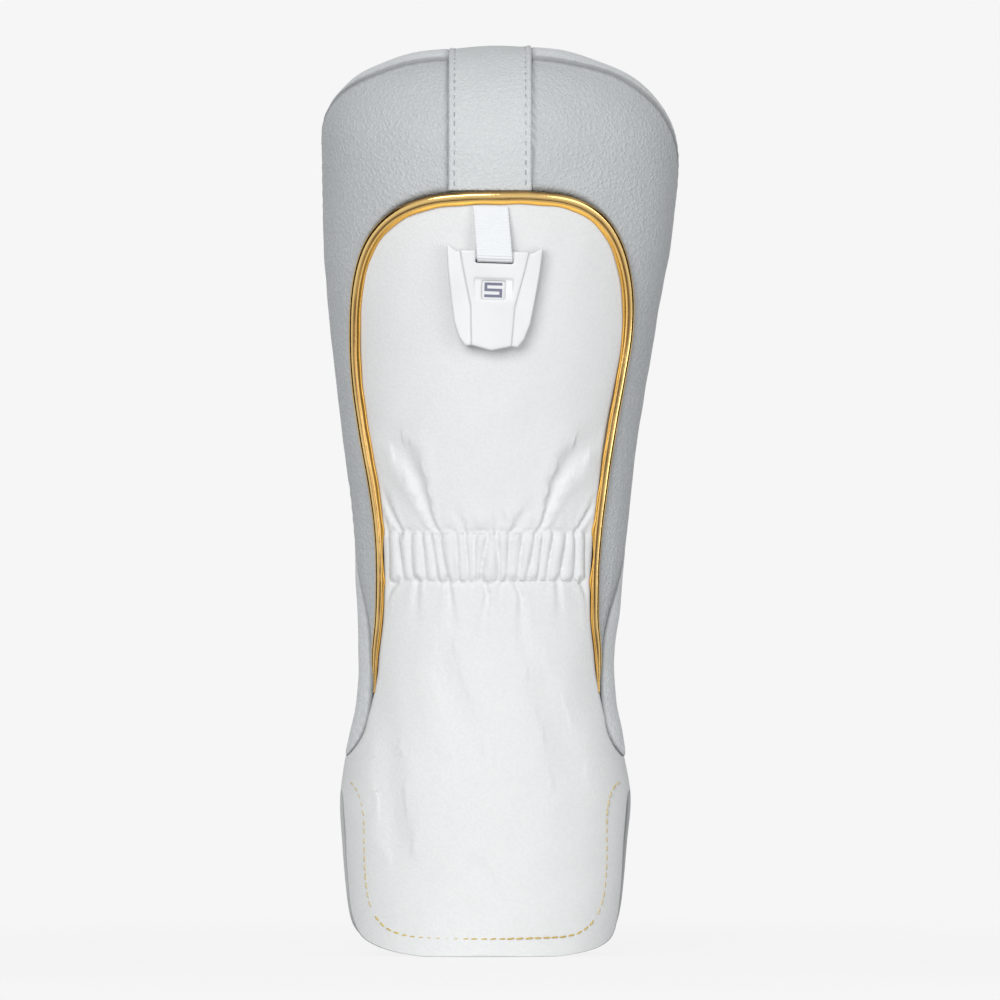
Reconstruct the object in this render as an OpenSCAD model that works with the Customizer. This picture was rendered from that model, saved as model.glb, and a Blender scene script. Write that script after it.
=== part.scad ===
// Fairway wood headcover: a padded leather sock with a gathered waist, a gold welt and a number tag.
// Millimetres. The mouth is at z = 0 and opens downwards, +Z points to the closed crown, -Y is the front.

/* [Overall shape] */
// Height of the widest level, where the sides end and the crown begins
crown_z = 288; // [280:1:296]
// Front to back half depth of the head pocket
pocket_depth = 42; // [38:0.5:46]
// Front to back half depth of the gathered waist
waist_depth = 30; // [26:0.5:34]
// Front to back half depth of the mouth
mouth_depth = 32; // [30:0.5:36]

/* [Leather and padding] */
// Thickness of the leather panels
leather_t = 1.2; // [0.9:0.1:1.6]
// Thickness of the foam behind the head pocket
foam_t = 2; // [1:0.5:3]
// Thickness of the fleece lining
fleece_t = 2.5; // [1.5:0.5:4]
// Gap between two layers
layer_gap = 0.1; // [0.05:0.05:0.3]
// Gap between the leather and the foam behind it
pad_gap = 0.7; // [0.6:0.1:1]
// Gap between two panels at a seam
seam_gap = 0.4; // [0.2:0.1:0.8]

/* [Welt] */
// Radius of the welt's filler cord
cord_r = 1; // [0.8:0.1:1.4]
// Thickness of the foil vinyl round the cord
welt_skin_t = 0.5; // [0.4:0.1:0.8]
// Width of the flat flange beside the welt
welt_flange_w = 1.8; // [1:0.1:3]
// Height of the cord's centre above the leather
welt_lift = 0.9; // [0.8:0.1:1.6]
// Gap under the flange
flange_gap = 0.3; // [0.25:0.05:0.5]

/* [Mouth] */
// Top of the two side slits
slit_top = 60; // [50:1:64]
// Width of the turned hem
hem_w = 6.5; // [5:0.5:9]
// Thickness of the turned hem
hem_t = 0.8; // [0.5:0.1:1.2]
// Gap between the flap and its turned hem
hem_gap = 0.4; // [0.3:0.05:0.6]
// Distance of the turned hem from the flap's edge
hem_in = 0.3; // [0.1:0.1:1]
// Distance of the turned hem's inner edge past its topstitching
hem_past = 1; // [0.5:0.1:2]
// Height of the seam between the back panel and the back cuff
back_seam_z = 96; // [92:1:104]

/* [Waist elastic] */
// Lower edge of the elastic band
elastic_z = 134; // [130:1:140]
// Width of the elastic band
elastic_w = 19; // [12:1:22]
// Thickness of the elastic band
elastic_t = 1; // [0.6:0.1:1.4]

/* [Crown strap] */
// Width of the strap over the crown
strap_w = 30; // [24:1:36]
// Middle of the strap across the cover
strap_x = 0.8; // [-3:0.1:3]
// Thickness of the strap
strap_t = 1; // [0.7:0.1:1.4]
// Lower end of the strap on the back
strap_back_z = 240; // [220:1:260]
// Distance of the topstitching from the strap's edges
strap_stitch_in = 2.2; // [1.5:0.1:4]

/* [Thread] */
// Thickness of the topstitching thread
thread_d = 0.5; // [0.3:0.1:0.8]
// Gap between a thread and the leather
thread_gap = 0.15; // [0.1:0.05:0.3]

/* [Ribbon] */
// Width of the grosgrain ribbon
ribbon_w = 12.7; // [10:0.1:14]
// Thickness of the ribbon
ribbon_t = 0.6; // [0.4:0.1:0.8]
// Distance from the tag's bar up to the ribbon's root
ribbon_l = 17; // [15:0.1:17.3]
// Sideways offset of the root from the bar
ribbon_slant = -2; // [-3:0.1:1]

/* [Number tag] */
// Middle of the tag across the cover
tag_x = 2.4; // [-4:0.1:4]
// Height of the tag's ribbon bar
tag_z = 252.6; // [248:0.1:253]
// Lean of the tag to the right
tag_roll = 2; // [-3:0.1:3]
// Thickness of the tag
tag_t = 5.4; // [5:0.1:6.5]
// Radius of the ribbon bar
bar_r = 1.8; // [1.4:0.1:1.8]
// Gap between the ribbon and the bar
bar_clearance = 0.15; // [0.1:0.05:0.3]
// Gap between the tag's back and the leather
tag_standoff = 0.6; // [0.4:0.1:2]

/* [Number dial] */
// Radius of the number dial
dial_r = 12; // [11:0.1:12.2]
// Thickness of the number dial's disc
dial_t = 1.1; // [0.8:0.1:1.3]
// Distance from the bar to the dial's centre
dial_drop = 20.5; // [20:0.1:21]
// Radius of the thumb hub that shows in the tag's back
hub_r = 8; // [6:0.1:9]
// Running gap round the dial
dial_clearance = 0.2; // [0.1:0.05:0.3]
// Height of a numeral
numeral_h = 5.3; // [4:0.1:5.6]
// Width of a numeral
numeral_w = 6.4; // [4:0.1:6.6]
// Stroke of a numeral
numeral_stroke = 1; // [0.6:0.1:1.2]

/* [Hidden] */

WHITE = [0.93, 0.94, 0.95];
PALE_GREY = [0.8, 0.81, 0.82];
GREY = [0.72, 0.74, 0.76];
FLEECE = [0.55, 0.55, 0.58];
GOLD = [0.85, 0.68, 0.32];
FOAM = [0.9, 0.88, 0.8];

// ---- Smooth curves -------------------------------------------------------------------------

// Index of the stretch of a table of [at, value] rows that holds x
function stretch(x, table, i = 0) =
    i >= len(table) - 2 || x < table[i + 1][0] ? i : stretch(x, table, i + 1);

// Slope of a table at row i, level at both ends
function slope(table, i) =
    i == 0 || i == len(table) - 1 ? 0
    : (table[i + 1][1] - table[i - 1][1]) / (table[i + 1][0] - table[i - 1][0]);

// Smooth value of a table at x
function smooth(x, table) =
    let (i = stretch(x, table),
         w = table[i + 1][0] - table[i][0],
         t = max(0, min(1, (x - table[i][0]) / w)))
    (1 + 2 * t) * pow(1 - t, 2) * table[i][1] + t * pow(1 - t, 2) * w * slope(table, i)
    + t * t * (3 - 2 * t) * table[i + 1][1] - t * t * (1 - t) * w * slope(table, i + 1);

function tangent(pts, i) =
    (pts[min(len(pts) - 1, i + 1)] - pts[max(0, i - 1)]) / 2;

// Curve through points, with n steps in each stretch
function through(pts, n) = [
    for (i = [0 : len(pts) - 2], k = [0 : n - 1])
        let (t = k / n)
        (1 + 2 * t) * pow(1 - t, 2) * pts[i] + t * pow(1 - t, 2) * tangent(pts, i)
        + t * t * (3 - 2 * t) * pts[i + 1] - t * t * (1 - t) * tangent(pts, i + 1),
    pts[len(pts) - 1]
];

function reversed(pts) = [for (i = [len(pts) - 1 : -1 : 0]) pts[i]];
function unit(v) = v / norm(v);

// ---- The cover's outer surface -------------------------------------------------------------
// Below crown_z each level is an ellipse. Above it the crown is a dome over its front outline.

// Half widths at each height, on the left and on the right as seen from the front
SIDE_LEFT = [[0, 49.5], [20, 51.6], [40, 53.1], [57, 53.8], [72, 51.6], [95, 46.9], [110, 46.6],
    [132, 47.4], [157, 49], [186, 52.4], [215, 55.9], [245, 58.6], [265, 59.8], [crown_z, 60.3]];
SIDE_RIGHT = [[0, 46.8], [20, 49], [40, 50.6], [57, 51.9], [72, 49.5], [95, 45.8], [110, 45.6],
    [132, 48.2], [157, 50.8], [186, 53.9], [215, 58.8], [245, 63.8], [265, 67.2], [crown_z, 69.3]];
// Crown outline: radius about the middle of the widest level, by angle from the right side
CROWN = [[0, 69.3], [15, 67.2], [30, 60.9], [45, 53.1], [60, 46.8], [67, 44.4], [75, 42], [90, 40.8],
    [105, 41.5], [113, 43.2], [120, 45.5], [135, 51.5], [150, 58.1], [165, 61.5], [180, 60.3]];
DEPTH = [[0, mouth_depth], [58, mouth_depth + 1], [110, waist_depth - 1], [140, waist_depth],
    [186, waist_depth + 5.5], [235, pocket_depth - 1.8], [crown_z, pocket_depth]];

function half_width(x, z) = smooth(z, x < 0 ? SIDE_LEFT : SIDE_RIGHT);
function depth(z) = smooth(z, DEPTH);

// A place on the cover is [a, b]. Up to b = 0 the height is crown_z + b and a is the angle round
// the ellipse from the middle of the front. On the crown [a, b] is that angle as a plane vector.
function outer(p) =
    p[1] <= 0
    ? let (z = crown_z + p[1])
        [half_width(p[0], z) * sin(p[0]), -depth(z) * cos(p[0]), z]
    : let (tip = norm(p), at = atan2(p[1], p[0]), r = smooth(at, CROWN) * sin(tip))
        [r * cos(at), -depth(crown_z) * cos(tip), crown_z + r * sin(at)];

// The place that shows at x, z in the front view
function seen(x, z) =
    z <= crown_z
    ? [asin(x / half_width(x, z)), z - crown_z]
    : let (at = atan2(z - crown_z, x), tip = asin(norm([x, z - crown_z]) / smooth(at, CROWN)))
        tip * [cos(at), sin(at)];

// Outward normal at a place
EPS = 0.05;
function normal(p) =
    unit(cross(outer(p + [EPS, 0]) - outer(p - [EPS, 0]), outer(p + [0, EPS]) - outer(p - [0, EPS])));

// The place whose point h above the face shows at x, z in the front view
function seen_above(x, z, h) = let (n = normal(seen(x, z))) seen(x - h * n[0], z - h * n[2]);

// Path of places moved along the surface, to its left, by d, which may differ from place to place
function beside(pts, d) = [for (i = [0 : len(pts) - 1])
    let (p = pts[i],
         across = (outer(p + [EPS, 0]) - outer(p - [EPS, 0])) / (2 * EPS),
         up = (outer(p + [0, EPS]) - outer(p - [0, EPS])) / (2 * EPS),
         way = tangent(pts, i),
         left = (is_list(d) ? d[i] : d) * unit(cross(normal(p), way[0] * across + way[1] * up)),
         skew = across * up,
         whole = (across * across) * (up * up) - skew * skew)
    p + [(left * across) * (up * up) - (left * up) * skew,
         (left * up) * (across * across) - (left * across) * skew] / whole];

// Point that lies h above the leather's face, on the front or the back half
function lifted(p, h, back = false) =
    let (v = outer(p) + h * normal(p))
    back ? [v[0], -v[1], v[2]] : v;

// ---- Solids from grids of points -----------------------------------------------------------

// Closed solid between two grids of the same size: top is its outer face
module between(top, bottom) {
    rows = len(top);
    cols = len(top[0]);
    n = rows * cols;
    function at(j, i) = j * cols + i;
    rim = concat(
        [for (i = [0 : cols - 1]) at(0, i)],
        [for (j = [1 : rows - 1]) at(j, cols - 1)],
        [for (i = [cols - 2 : -1 : 0]) at(rows - 1, i)],
        [for (j = [rows - 2 : -1 : 1]) at(j, 0)]);
    polyhedron(
        points = [for (row = top, v = row) v, for (row = bottom, v = row) v],
        faces = [
            for (j = [0 : rows - 2], i = [0 : cols - 2])
                each [[at(j, i), at(j + 1, i), at(j + 1, i + 1)],
                    [at(j, i), at(j + 1, i + 1), at(j, i + 1)]],
            for (j = [0 : rows - 2], i = [0 : cols - 2])
                each [[n + at(j, i), n + at(j + 1, i + 1), n + at(j + 1, i)],
                    [n + at(j, i), n + at(j, i + 1), n + at(j + 1, i + 1)]],
            for (k = [0 : len(rim) - 1])
                let (p = rim[k], q = rim[(k + 1) % len(rim)])
                each [[p, q, n + q], [p, n + q, n + p]]
        ]);
}

// Layer of the cover between two edge paths, from height h down by t
module layer(left, right, across, h, t, back = false) {
    grid = [for (j = [0 : len(left) - 1])
        [for (i = [0 : across]) left[j] + (right[j] - left[j]) * i / across]];
    top = [for (row = grid) [for (p = row) lifted(p, h, back)]];
    bottom = [for (row = grid) [for (p = row) lifted(p, h - t, back)]];
    if (back) between(bottom, top);
    else between(top, bottom);
}

// Solid swept along a path on the front: each profile point is [distance to the path's right, height],
// and each place of the path has its own size of it
module swept(path, sizes, profile) {
    sections = [for (i = [0 : len(path) - 1])
        let (here = lifted(path[i], 0),
             ahead = lifted(path[min(len(path) - 1, i + 1)], 0),
             behind = lifted(path[max(0, i - 1)], 0),
             up = lifted(path[i], 1) - here,
             side = unit(cross(ahead - behind, up)))
        [for (q = sizes[i] * profile) here + q[0] * side + q[1] * up]];
    n = len(profile);
    m = len(sections);
    polyhedron(
        points = [for (s = sections, v = s) v],
        faces = concat(
            [for (j = [0 : m - 2], i = [0 : n - 1])
                let (k = (i + 1) % n)
                each [[j * n + i, (j + 1) * n + k, (j + 1) * n + i],
                    [j * n + i, j * n + k, (j + 1) * n + k]]],
            [[for (i = [n - 1 : -1 : 0]) i], [for (i = [0 : n - 1]) (m - 1) * n + i]]));
}

function ring(r, n, up) = [for (i = [0 : n - 1]) [r * cos(360 * i / n), up + r * sin(360 * i / n)]];

// ---- Seams ---------------------------------------------------------------------------------

// Middle of the welt, from its left end over the arch to its right end, in the front view
WELT = [[-41.9, 95], [-41.4, 108], [-40, 122], [-39.6, 138], [-40.2, 154], [-42.4, 171], [-45.7, 190],
    [-48.2, 209], [-48.8, 226.1], [-47.9, 241], [-45, 253.2], [-39.9, 262.1], [-32, 268.6],
    [-21.3, 272.5], [-8.7, 273.9], [3.9, 274.2], [16.6, 274.1], [28.6, 272.7], [37.5, 268.9],
    [44.4, 262.1], [49.2, 251.4], [51.4, 238], [51, 224], [48.6, 209], [45.2, 190], [42.4, 171],
    [40.4, 154], [39.3, 138], [39.2, 122], [40.4, 108], [40.9, 95]];
welt_path = through([for (v = WELT) seen_above(v[0], v[1], welt_lift)], 2);
welt_r = cord_r + welt_skin_t;
// Size of the welt by height: drawn in at the waist, and thinner to its ends
WELT_SIZE = [[95, 0.4], [103, 0.55], [109, 0.7], [117, 0.8], [130, 0.82], [150, 0.85], [172, 0.95],
    [190, 1], [crown_z, 1]];
function welt_sizes(path) = [for (p = path) smooth(min(crown_z, p[1] + crown_z), WELT_SIZE)];
// Distance from the welt's middle to the panels' edges
welt_half = welt_r + seam_gap / 2;

// Front seam of the gusset, from its rounded lower tip up the side: [angle, height]
tip_z = 71.5;
GUSSET_FRONT = [[88.5, tip_z], [82, tip_z + 0.8], [75, tip_z + 2.6], [69.5, tip_z + 5.5],
    [66, tip_z + 9.5], [64.8, tip_z + 15], [65.4, 96], [66.2, 108], [67.5, 117], [71, 126], [78, 135],
    [87, 146], [92, 158], [92.5, 180], [92.5, 215], [92.5, 250], [92, 272], [89, 284]];
GUSSET_BACK = [[91.5, tip_z], [98, tip_z + 0.8], [105, tip_z + 2.6], [110.5, tip_z + 5.5],
    [114.5, tip_z + 9.5], [117, tip_z + 15], [119, back_seam_z], [120.5, 108], [121.5, 117], [122.5, 126],
    [123, 135], [124, 146], [125, 158], [126, 180], [127, 215], [127, 250], [125.5, 272], [122.5, 284]];
// The same seams over the crown: [tip angle, angle in the outline's plane]
CROWN_FRONT_LEFT = [[89.5, 5], [88, 12], [80, 23], [69, 36], [66.6, 50], [66, 70], [65, 90]];
CROWN_FRONT_RIGHT = [[82, 5], [78, 12], [73.5, 21], [69, 34], [64, 50], [64, 70], [65, 90]];
CROWN_BACK = [[120.5, 5], [119, 12], [117.5, 22], [116.5, 35], [116, 50], [116, 70], [116, 90]];

function side_part(seam, hand) = [for (s = seam) [hand * s[0], s[1] - crown_z]];
function crown_part(seam, hand) = [for (s = seam) s[0] * [hand * cos(s[1]), sin(s[1])]];
// A whole seam from the left tip over the crown to the right tip
function seam(side, crown_left, crown_right, from = 0) =
    let (low = [for (i = [from : len(side) - 1]) side[i]],
         left = concat(side_part(low, -1), crown_part(crown_left, -1)),
         right = concat(side_part(low, 1), crown_part(crown_right, 1)))
    concat(left, [for (i = [len(right) - 2 : -1 : 0]) right[i]]);

function front_seam(from = 0) = seam(GUSSET_FRONT, CROWN_FRONT_LEFT, CROWN_FRONT_RIGHT, from);
function back_seam(from = 0) = seam(GUSSET_BACK, CROWN_BACK, CROWN_BACK, from);
gusset_front = through(front_seam(), 2);
gusset_back = through(back_seam(), 2);

// Places on the back half count their angle from the middle of the back
function from_back(p) =
    p[1] <= 0 ? [sign(p[0]) * (180 - abs(p[0])), p[1]] : (180 / norm(p) - 1) * p;

function half(pts, right) =
    right ? [for (i = [len(pts) - 1 : -1 : (len(pts) - 1) / 2]) pts[i]]
          : [for (i = [0 : (len(pts) - 1) / 2]) pts[i]];

// ---- Depths of the layers under the leather's face ---------------------------------------

thread_top = thread_gap + thread_d / 2;
pad_at = -leather_t - pad_gap;
lining_at = pad_at - foam_t - layer_gap;

// ---- Front -------------------------------------------------------------------------------

// Left edge of the front flap, from the bottom of the mouth up to the slit's top, in the front view
FLAP_LEFT = [[-24, 0], [-34, 1.5], [-41, 3.6], [-46.4, 7], [-49.2, 12.5], [-50.9, 22], [-51.8, 34]];
FLAP_RIGHT = [[25, 0], [35.5, 1.5], [42, 3.6], [45.6, 7], [47.2, 12.5], [48.4, 22], [49.1, 34]];
// The slit's upper end and the side seam above it: [angle, height under the slit's top]
SLIT_END = [[77.5, -12], [79, -4], [84, -0.8], [89.2, 0.4]];

function flap_edge(flap, hand) = concat(
    [for (v = flap) seen(v[0], v[1])],
    [for (s = SLIT_END) [hand * s[0], slit_top + s[1] - crown_z]]);

// The white panel's edge below the welt, inside the gusset's lower seam
function under_gusset(hand) = [
    [hand * 89.2, tip_z - 1 - crown_z],
    for (i = [1 : 5]) [hand * (GUSSET_FRONT[i][0] - seam_gap), GUSSET_FRONT[i][1] - seam_gap - crown_z]];

welt_inside = beside(welt_path, -welt_half * welt_sizes(welt_path));
function panel_edge(right) = let (hand = right ? 1 : -1) concat(
    through(concat(flap_edge(right ? FLAP_RIGHT : FLAP_LEFT, hand), under_gusset(hand)), 2),
    half(welt_inside, right));

panel_columns = 14;
module front_panel() {
    color(WHITE) layer(panel_edge(false), panel_edge(true), panel_columns, 0, leather_t);
}

// The yoke lies between the welt and the gusset. Its lower ends run out to points.
yoke_from = 7;
yoke_tip_z = 112;
module front_yoke() {
    along = [for (p = welt_path) if (p[1] > yoke_tip_z - crown_z) p];
    inner = beside(along, welt_half * welt_sizes(along));
    rim = through(front_seam(yoke_from), 4);
    color(GREY) layer(resampled(beside(rim, -seam_gap / 2), len(inner)), inner, 5, 0, leather_t);
}

// A path resampled to n points at even distances
function lengths(pts, i = 1, run = [0]) =
    i == len(pts) ? run : lengths(pts, i + 1, concat(run, [run[i - 1] + norm(pts[i] - pts[i - 1])]));
function resampled(pts, n) =
    let (run = lengths(pts), whole = run[len(run) - 1])
    [for (k = [0 : n - 1])
        let (d = whole * k / (n - 1),
             table = [for (i = [0 : len(pts) - 1]) [run[i], i]],
             i = min(len(pts) - 2, stretch(d, table)),
             t = (d - run[i]) / (run[i + 1] - run[i]))
        pts[i] + t * (pts[i + 1] - pts[i])];

module side_gusset() {
    color(PALE_GREY)
        layer(beside(gusset_back, -seam_gap / 2), beside(gusset_front, seam_gap / 2), 5, 0, leather_t);
}

// ---- Back --------------------------------------------------------------------------------

// Number of the gusset's seam point where the back cuff ends and the back panel begins
back_from = 6;

module back_panel() {
    rim = [for (p = through(back_seam(back_from), 2)) from_back(p)];
    path = beside(rim, -seam_gap / 2);
    color(GREY) layer(half(path, false), half(path, true), 12, 0, leather_t, true);
}

// Left and right edges of the back cuff: flap, slit end, side seam, gusset
BACK_LEFT = [[-27, 0], [-37, 1.5], [-43.2, 3.6], [-47.4, 7]];
BACK_RIGHT = [[27, 0], [35.5, 1.5], [41, 3.6], [45, 7]];
function back_edge(hand) = concat(
    [for (v = hand < 0 ? BACK_LEFT : BACK_RIGHT) seen(v[0], v[1])],
    [for (s = [[82, 12.5], [86, 22], [88, 34]]) [hand * s[0], s[1] - crown_z]],
    [for (s = [[89.3, -12], [89.3, -4], [89.3, 0.4]]) [hand * s[0], slit_top + s[1] - crown_z]],
    [[hand * 89.3, tip_z - 1 - crown_z]],
    [for (i = [1 : 5])
        [hand * (180 - GUSSET_BACK[i][0] - seam_gap), GUSSET_BACK[i][1] - seam_gap - crown_z]],
    [[hand * (180 - GUSSET_BACK[6][0] - seam_gap), back_seam_z - seam_gap - crown_z]]);

module back_cuff() {
    color(WHITE) layer(through(back_edge(-1), 2), through(back_edge(1), 2), 12, 0, leather_t, true);
}

// ---- Crown strap ---------------------------------------------------------------------------

// Level of the strap's front end, under the welt, and the turn of the strap over the crown
strap_front_z = outer(beside(welt_path, welt_half)[floor(len(welt_path) / 2)])[2];
// Point of the cover under the strap at x: t < 0 is below the crown at the front, 0 to 180 is the
// turn over the crown and t > 180 is down the back
function under_strap(x, t) =
    t < 0 ? outer(seen(x, crown_z + t))
    : t > 180 ? let (v = outer(seen(x, crown_z + 180 - t))) [v[0], -v[1], v[2]]
    : over_crown(x, t, 41, 5);
function over_crown(x, t, r, tries) =
    let (d = depth(crown_z),
         q = sqrt((1 - x * x / (r * r)) / (pow(sin(t) / r, 2) + pow(cos(t) / d, 2))))
    tries == 0 ? [x, -q * cos(t), crown_z + q * sin(t)]
    : over_crown(x, t, smooth(atan2(q * sin(t), x), CROWN), tries - 1);

function strap_lifted(x, t, h) =
    let (here = under_strap(x, t),
         n = cross(under_strap(x + EPS, t) - under_strap(x - EPS, t),
                   under_strap(x, t + EPS) - under_strap(x, t - EPS)))
    here + h * unit(n);

strap_turns = [
    for (t = [strap_front_z - crown_z : 4 : -3]) t,
    for (t = [1.5 : 8 : 178.5]) t,
    for (t = [182 : 8 : 180 + crown_z - strap_back_z]) t];

module strap_strip(x0, x1, across, h, t) {
    function face(h) = [for (turn = strap_turns)
        [for (i = [0 : across]) strap_lifted(strap_x + x0 + (x1 - x0) * i / across, turn, h)]];
    between(face(h + t), face(h));
}

module crown_strap() {
    color(GREY) strap_strip(-strap_w / 2, strap_w / 2, 6, layer_gap, strap_t);
}

module strap_thread() {
    color(GREY)
        for (hand = [-1, 1])
            let (x = hand * (strap_w / 2 - strap_stitch_in), h = layer_gap + strap_t + thread_gap)
            strap_strip(x - thread_d / 2, x + thread_d / 2, 1, h, thread_d / 2);
}

// ---- Welt ----------------------------------------------------------------------------------

// Steps round the welt's tube, and the share of a turn that the flange takes up
tube_steps = 10;
flange_turn = 24;
module piping_cover() {
    flange_end = welt_r + welt_flange_w;
    flange_top = flange_gap + welt_skin_t;
    start = asin((flange_top - welt_lift) / welt_r);
    outline = concat(
        [for (k = [0 : tube_steps]) let (at = start + k * (360 - flange_turn) / tube_steps)
            [welt_r * cos(at), welt_lift + welt_r * sin(at)]],
        [[flange_end, flange_gap], [flange_end, flange_top]]);
    color(GOLD) difference() {
        swept(welt_path, welt_sizes(welt_path), outline);
        swept(longer(welt_path, 0.5), welt_sizes(welt_path), ring(cord_r, 8, welt_lift));
    }
}

// A path with its two ends moved out by d, or in when d is negative
function longer(pts, d) =
    let (n = len(pts) - 1)
    [pts[0] - d * unit(pts[1] - pts[0]),
     for (i = [1 : n - 1]) pts[i],
     pts[n] + d * unit(pts[n] - pts[n - 1])];

module piping_cord() {
    color(WHITE) swept(longer(welt_path, -0.2), welt_sizes(welt_path), ring(cord_r - 0.05, 8, welt_lift));
}

// ---- Waist -----------------------------------------------------------------------------------

// The welt's side edge by height, below the arch
WELT_SIDE = 9;
function welt_side(hand) = [for (i = [0 : WELT_SIDE])
    let (v = WELT[hand < 0 ? i : len(WELT) - 1 - i]) [v[1], v[0]]];

function band_edge(z0, z1, hand, short) = [for (k = [0 : 5])
    let (z = z0 + (z1 - z0) * k / 5, p = seen(smooth(z, welt_side(hand)), z))
    [p[0] - hand * short, p[1]]];

module band(z0, z1, h, t, short) {
    layer(band_edge(z0, z1, -1, short), band_edge(z0, z1, 1, short), 12, h, t);
}

module waist_elastic() {
    color(WHITE)
        band(elastic_z, elastic_z + elastic_w, -leather_t - layer_gap, elastic_t, 2 * welt_half);
}

module gather_thread() {
    color(WHITE)
        for (z = [elastic_z - thread_d / 2, elastic_z + elastic_w - thread_d / 2])
            band(z, z + thread_d, thread_top, thread_d / 2, 2 * (welt_half + welt_flange_w));
}

// ---- Foam and lining -----------------------------------------------------------------------

// Lower end of the foam, clear of the gathers
pad_z = elastic_z + elastic_w + 8;
// Edge of a half layer, up one side and over the crown: reach is its angle from the middle
function half_edge(z0, z1, steps, reach, hand) = concat(
    [for (k = [0 : steps]) [hand * reach, z0 + (z1 - z0) * k / steps - crown_z]],
    [for (k = [1 : 9]) reach * [hand * cos(9.4 * k), sin(9.4 * k)]]);

// How far round the cover's half a pad reaches, from its middle
pad_reach = 88.5;
module pad(back) {
    function edge(hand) = half_edge(pad_z, crown_z, 6, pad_reach, hand);
    color(FOAM) layer(edge(-1), edge(1), 12, pad_at, foam_t, back);
}

module front_pad() {
    pad(false);
}

module back_pad() {
    pad(true);
}

lining_z = hem_w;
module front_lining() {
    color(FLEECE) lining(false, 74, pad_reach + 0.5);
}

module back_lining() {
    color(FLEECE) lining(true, 80, pad_reach + 0.5);
}

// Fleece lining of one half: narrower between the slits than above them
module lining(back, slit_reach, reach) {
    function edge(hand) = concat(
        [for (v = [[20, 0], [33, 2], [38, 6], [40, 12], [42, 24], [43, 38]])
            seen(hand * v[0], lining_z + v[1])],
        [[hand * slit_reach, slit_top - 4 - crown_z]],
        half_edge(slit_top + 6, crown_z, 10, reach, hand));
    layer(edge(-1), edge(1), 12, lining_at, fleece_t, back);
}

// ---- Hem -------------------------------------------------------------------------------------

// The flap's edge from the left slit's top, under the mouth, to the right slit's top
function rim_path(left, right) = through(concat(
    reversed(left),
    [for (t = [0.25 : 0.25 : 0.75]) left[0] + t * (right[0] - left[0])],
    right), 4);
front_rim = rim_path(flap_edge(FLAP_LEFT, -1), flap_edge(FLAP_RIGHT, 1));

function back_flap(hand) = [for (i = [0 : 8]) back_edge(hand)[i]];

// Hem turned in behind a flap, from its inner edge to the flap's edge
module hem(inner, rim, back) {
    color(WHITE) layer(inner, beside(rim, hem_in), 4, -leather_t - hem_gap, hem_t, back);
}

// Topstitching of the front flap from the middle of the mouth up to the slit's top, in the front view
STITCH_LEFT = [[-22, hem_w + 0.4], [-27.6, hem_w + 0.8], [-32, hem_w + 1.6], [-36.3, hem_w + 3.4],
    [-39.8, 13], [-42.5, 18], [-44.1, 26], [-44.7, 38], [-44.9, slit_top - 10], [-46.2, slit_top - 3],
    [-48.2, slit_top + 0.8], [-50, slit_top + 2.6]];
STITCH_RIGHT = [[23, hem_w + 0.4], [28.6, hem_w + 0.8], [33, hem_w + 2], [36.8, hem_w + 4.6],
    [39.6, 15], [41.5, 20.5], [42.5, 28], [42.9, 38], [43, slit_top - 10], [44, slit_top - 3],
    [45.8, slit_top + 1], [48.4, slit_top + 2.8]];
stitch_path = through([for (v = concat(reversed(STITCH_LEFT), [[0, hem_w]], STITCH_RIGHT))
    seen(v[0], v[1])], 4);

module front_hem() {
    hem(resampled(beside(stitch_path, hem_past), len(front_rim)), front_rim, false);
}

module back_hem() {
    rim = rim_path(back_flap(-1), back_flap(1));
    hem(beside(rim, hem_w), rim, true);
}

module hem_thread() {
    color(GOLD) layer(beside(stitch_path, thread_d / 2), beside(stitch_path, -thread_d / 2), 1,
        thread_top, thread_d / 2);
}

// ---- Ribbon and tag ------------------------------------------------------------------------
// In the tag's own frame the bar's axis is X, the tag hangs towards -Z and its face is towards -Y.

tag_y = -depth(tag_z) - tag_standoff - tag_t / 2;
loop_in = bar_r + bar_clearance;
loop_out = loop_in + ribbon_t;
slot_w = ribbon_w + 1;
// Lower wall of the slot, clear of the ribbon as the tag tilts
slot_z = -loop_out - 0.4;
root_y = 2;

module in_tag_frame() {
    translate([tag_x, tag_y, tag_z]) rotate([0, tag_roll, 0]) children();
}

// Ribbon doubled round the bar: a loop whose two layers meet at the root
module tag_ribbon() {
    slant = ribbon_slant / ribbon_l;
    color(WHITE) in_tag_frame()
        multmatrix([[1, 0, slant, 0], [0, 1, 0, 0], [0, 0, 1, 0], [0, 0, 0, 1]])
            rotate([90, 0, 90]) linear_extrude(ribbon_w, center = true, convexity = 4) difference() {
                ribbon_side(loop_out, ribbon_t);
                ribbon_side(loop_in, 0.02);
            }
}

module ribbon_side(loop_r, root_r) {
    hull() {
        circle(loop_r, $fn = 48);
        translate([root_y, ribbon_l]) circle(root_r, $fn = 16);
    }
}

// Half outline of the tag and of its raised face plate, from the top down
TAG_SIDE = [[12.8, 1.6], [13.4, 1], [17.4, 3.75], [16.6, -5.2], [15, -16.4], [13.7, -24.3],
    [11.6, -30], [9.4, -32.8], [7.3, -32.5], [0, -34.3]];
PLATE_SIDE = [[12.4, 1.6], [11.2, -4.6], [7.9, -18.5], [7.3, -30], [7.2, -32.5], [0, -34.2]];

function both(side) =
    concat(side, [for (i = [len(side) - 2 : -1 : 0]) [-side[i][0], side[i][1]]]);

// Flat outline stood up in the tag's plane, between two depths
module plate(side, y0, y1) {
    translate([0, y1, 0]) rotate([90, 0, 0]) linear_extrude(y1 - y0) polygon(both(side));
}

module across(r, y0, y1) {
    translate([0, y1, -dial_drop]) rotate([90, 0, 0]) cylinder(h = y1 - y0, r = r, $fn = 96);
}

face_y = -tag_t / 2;
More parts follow.
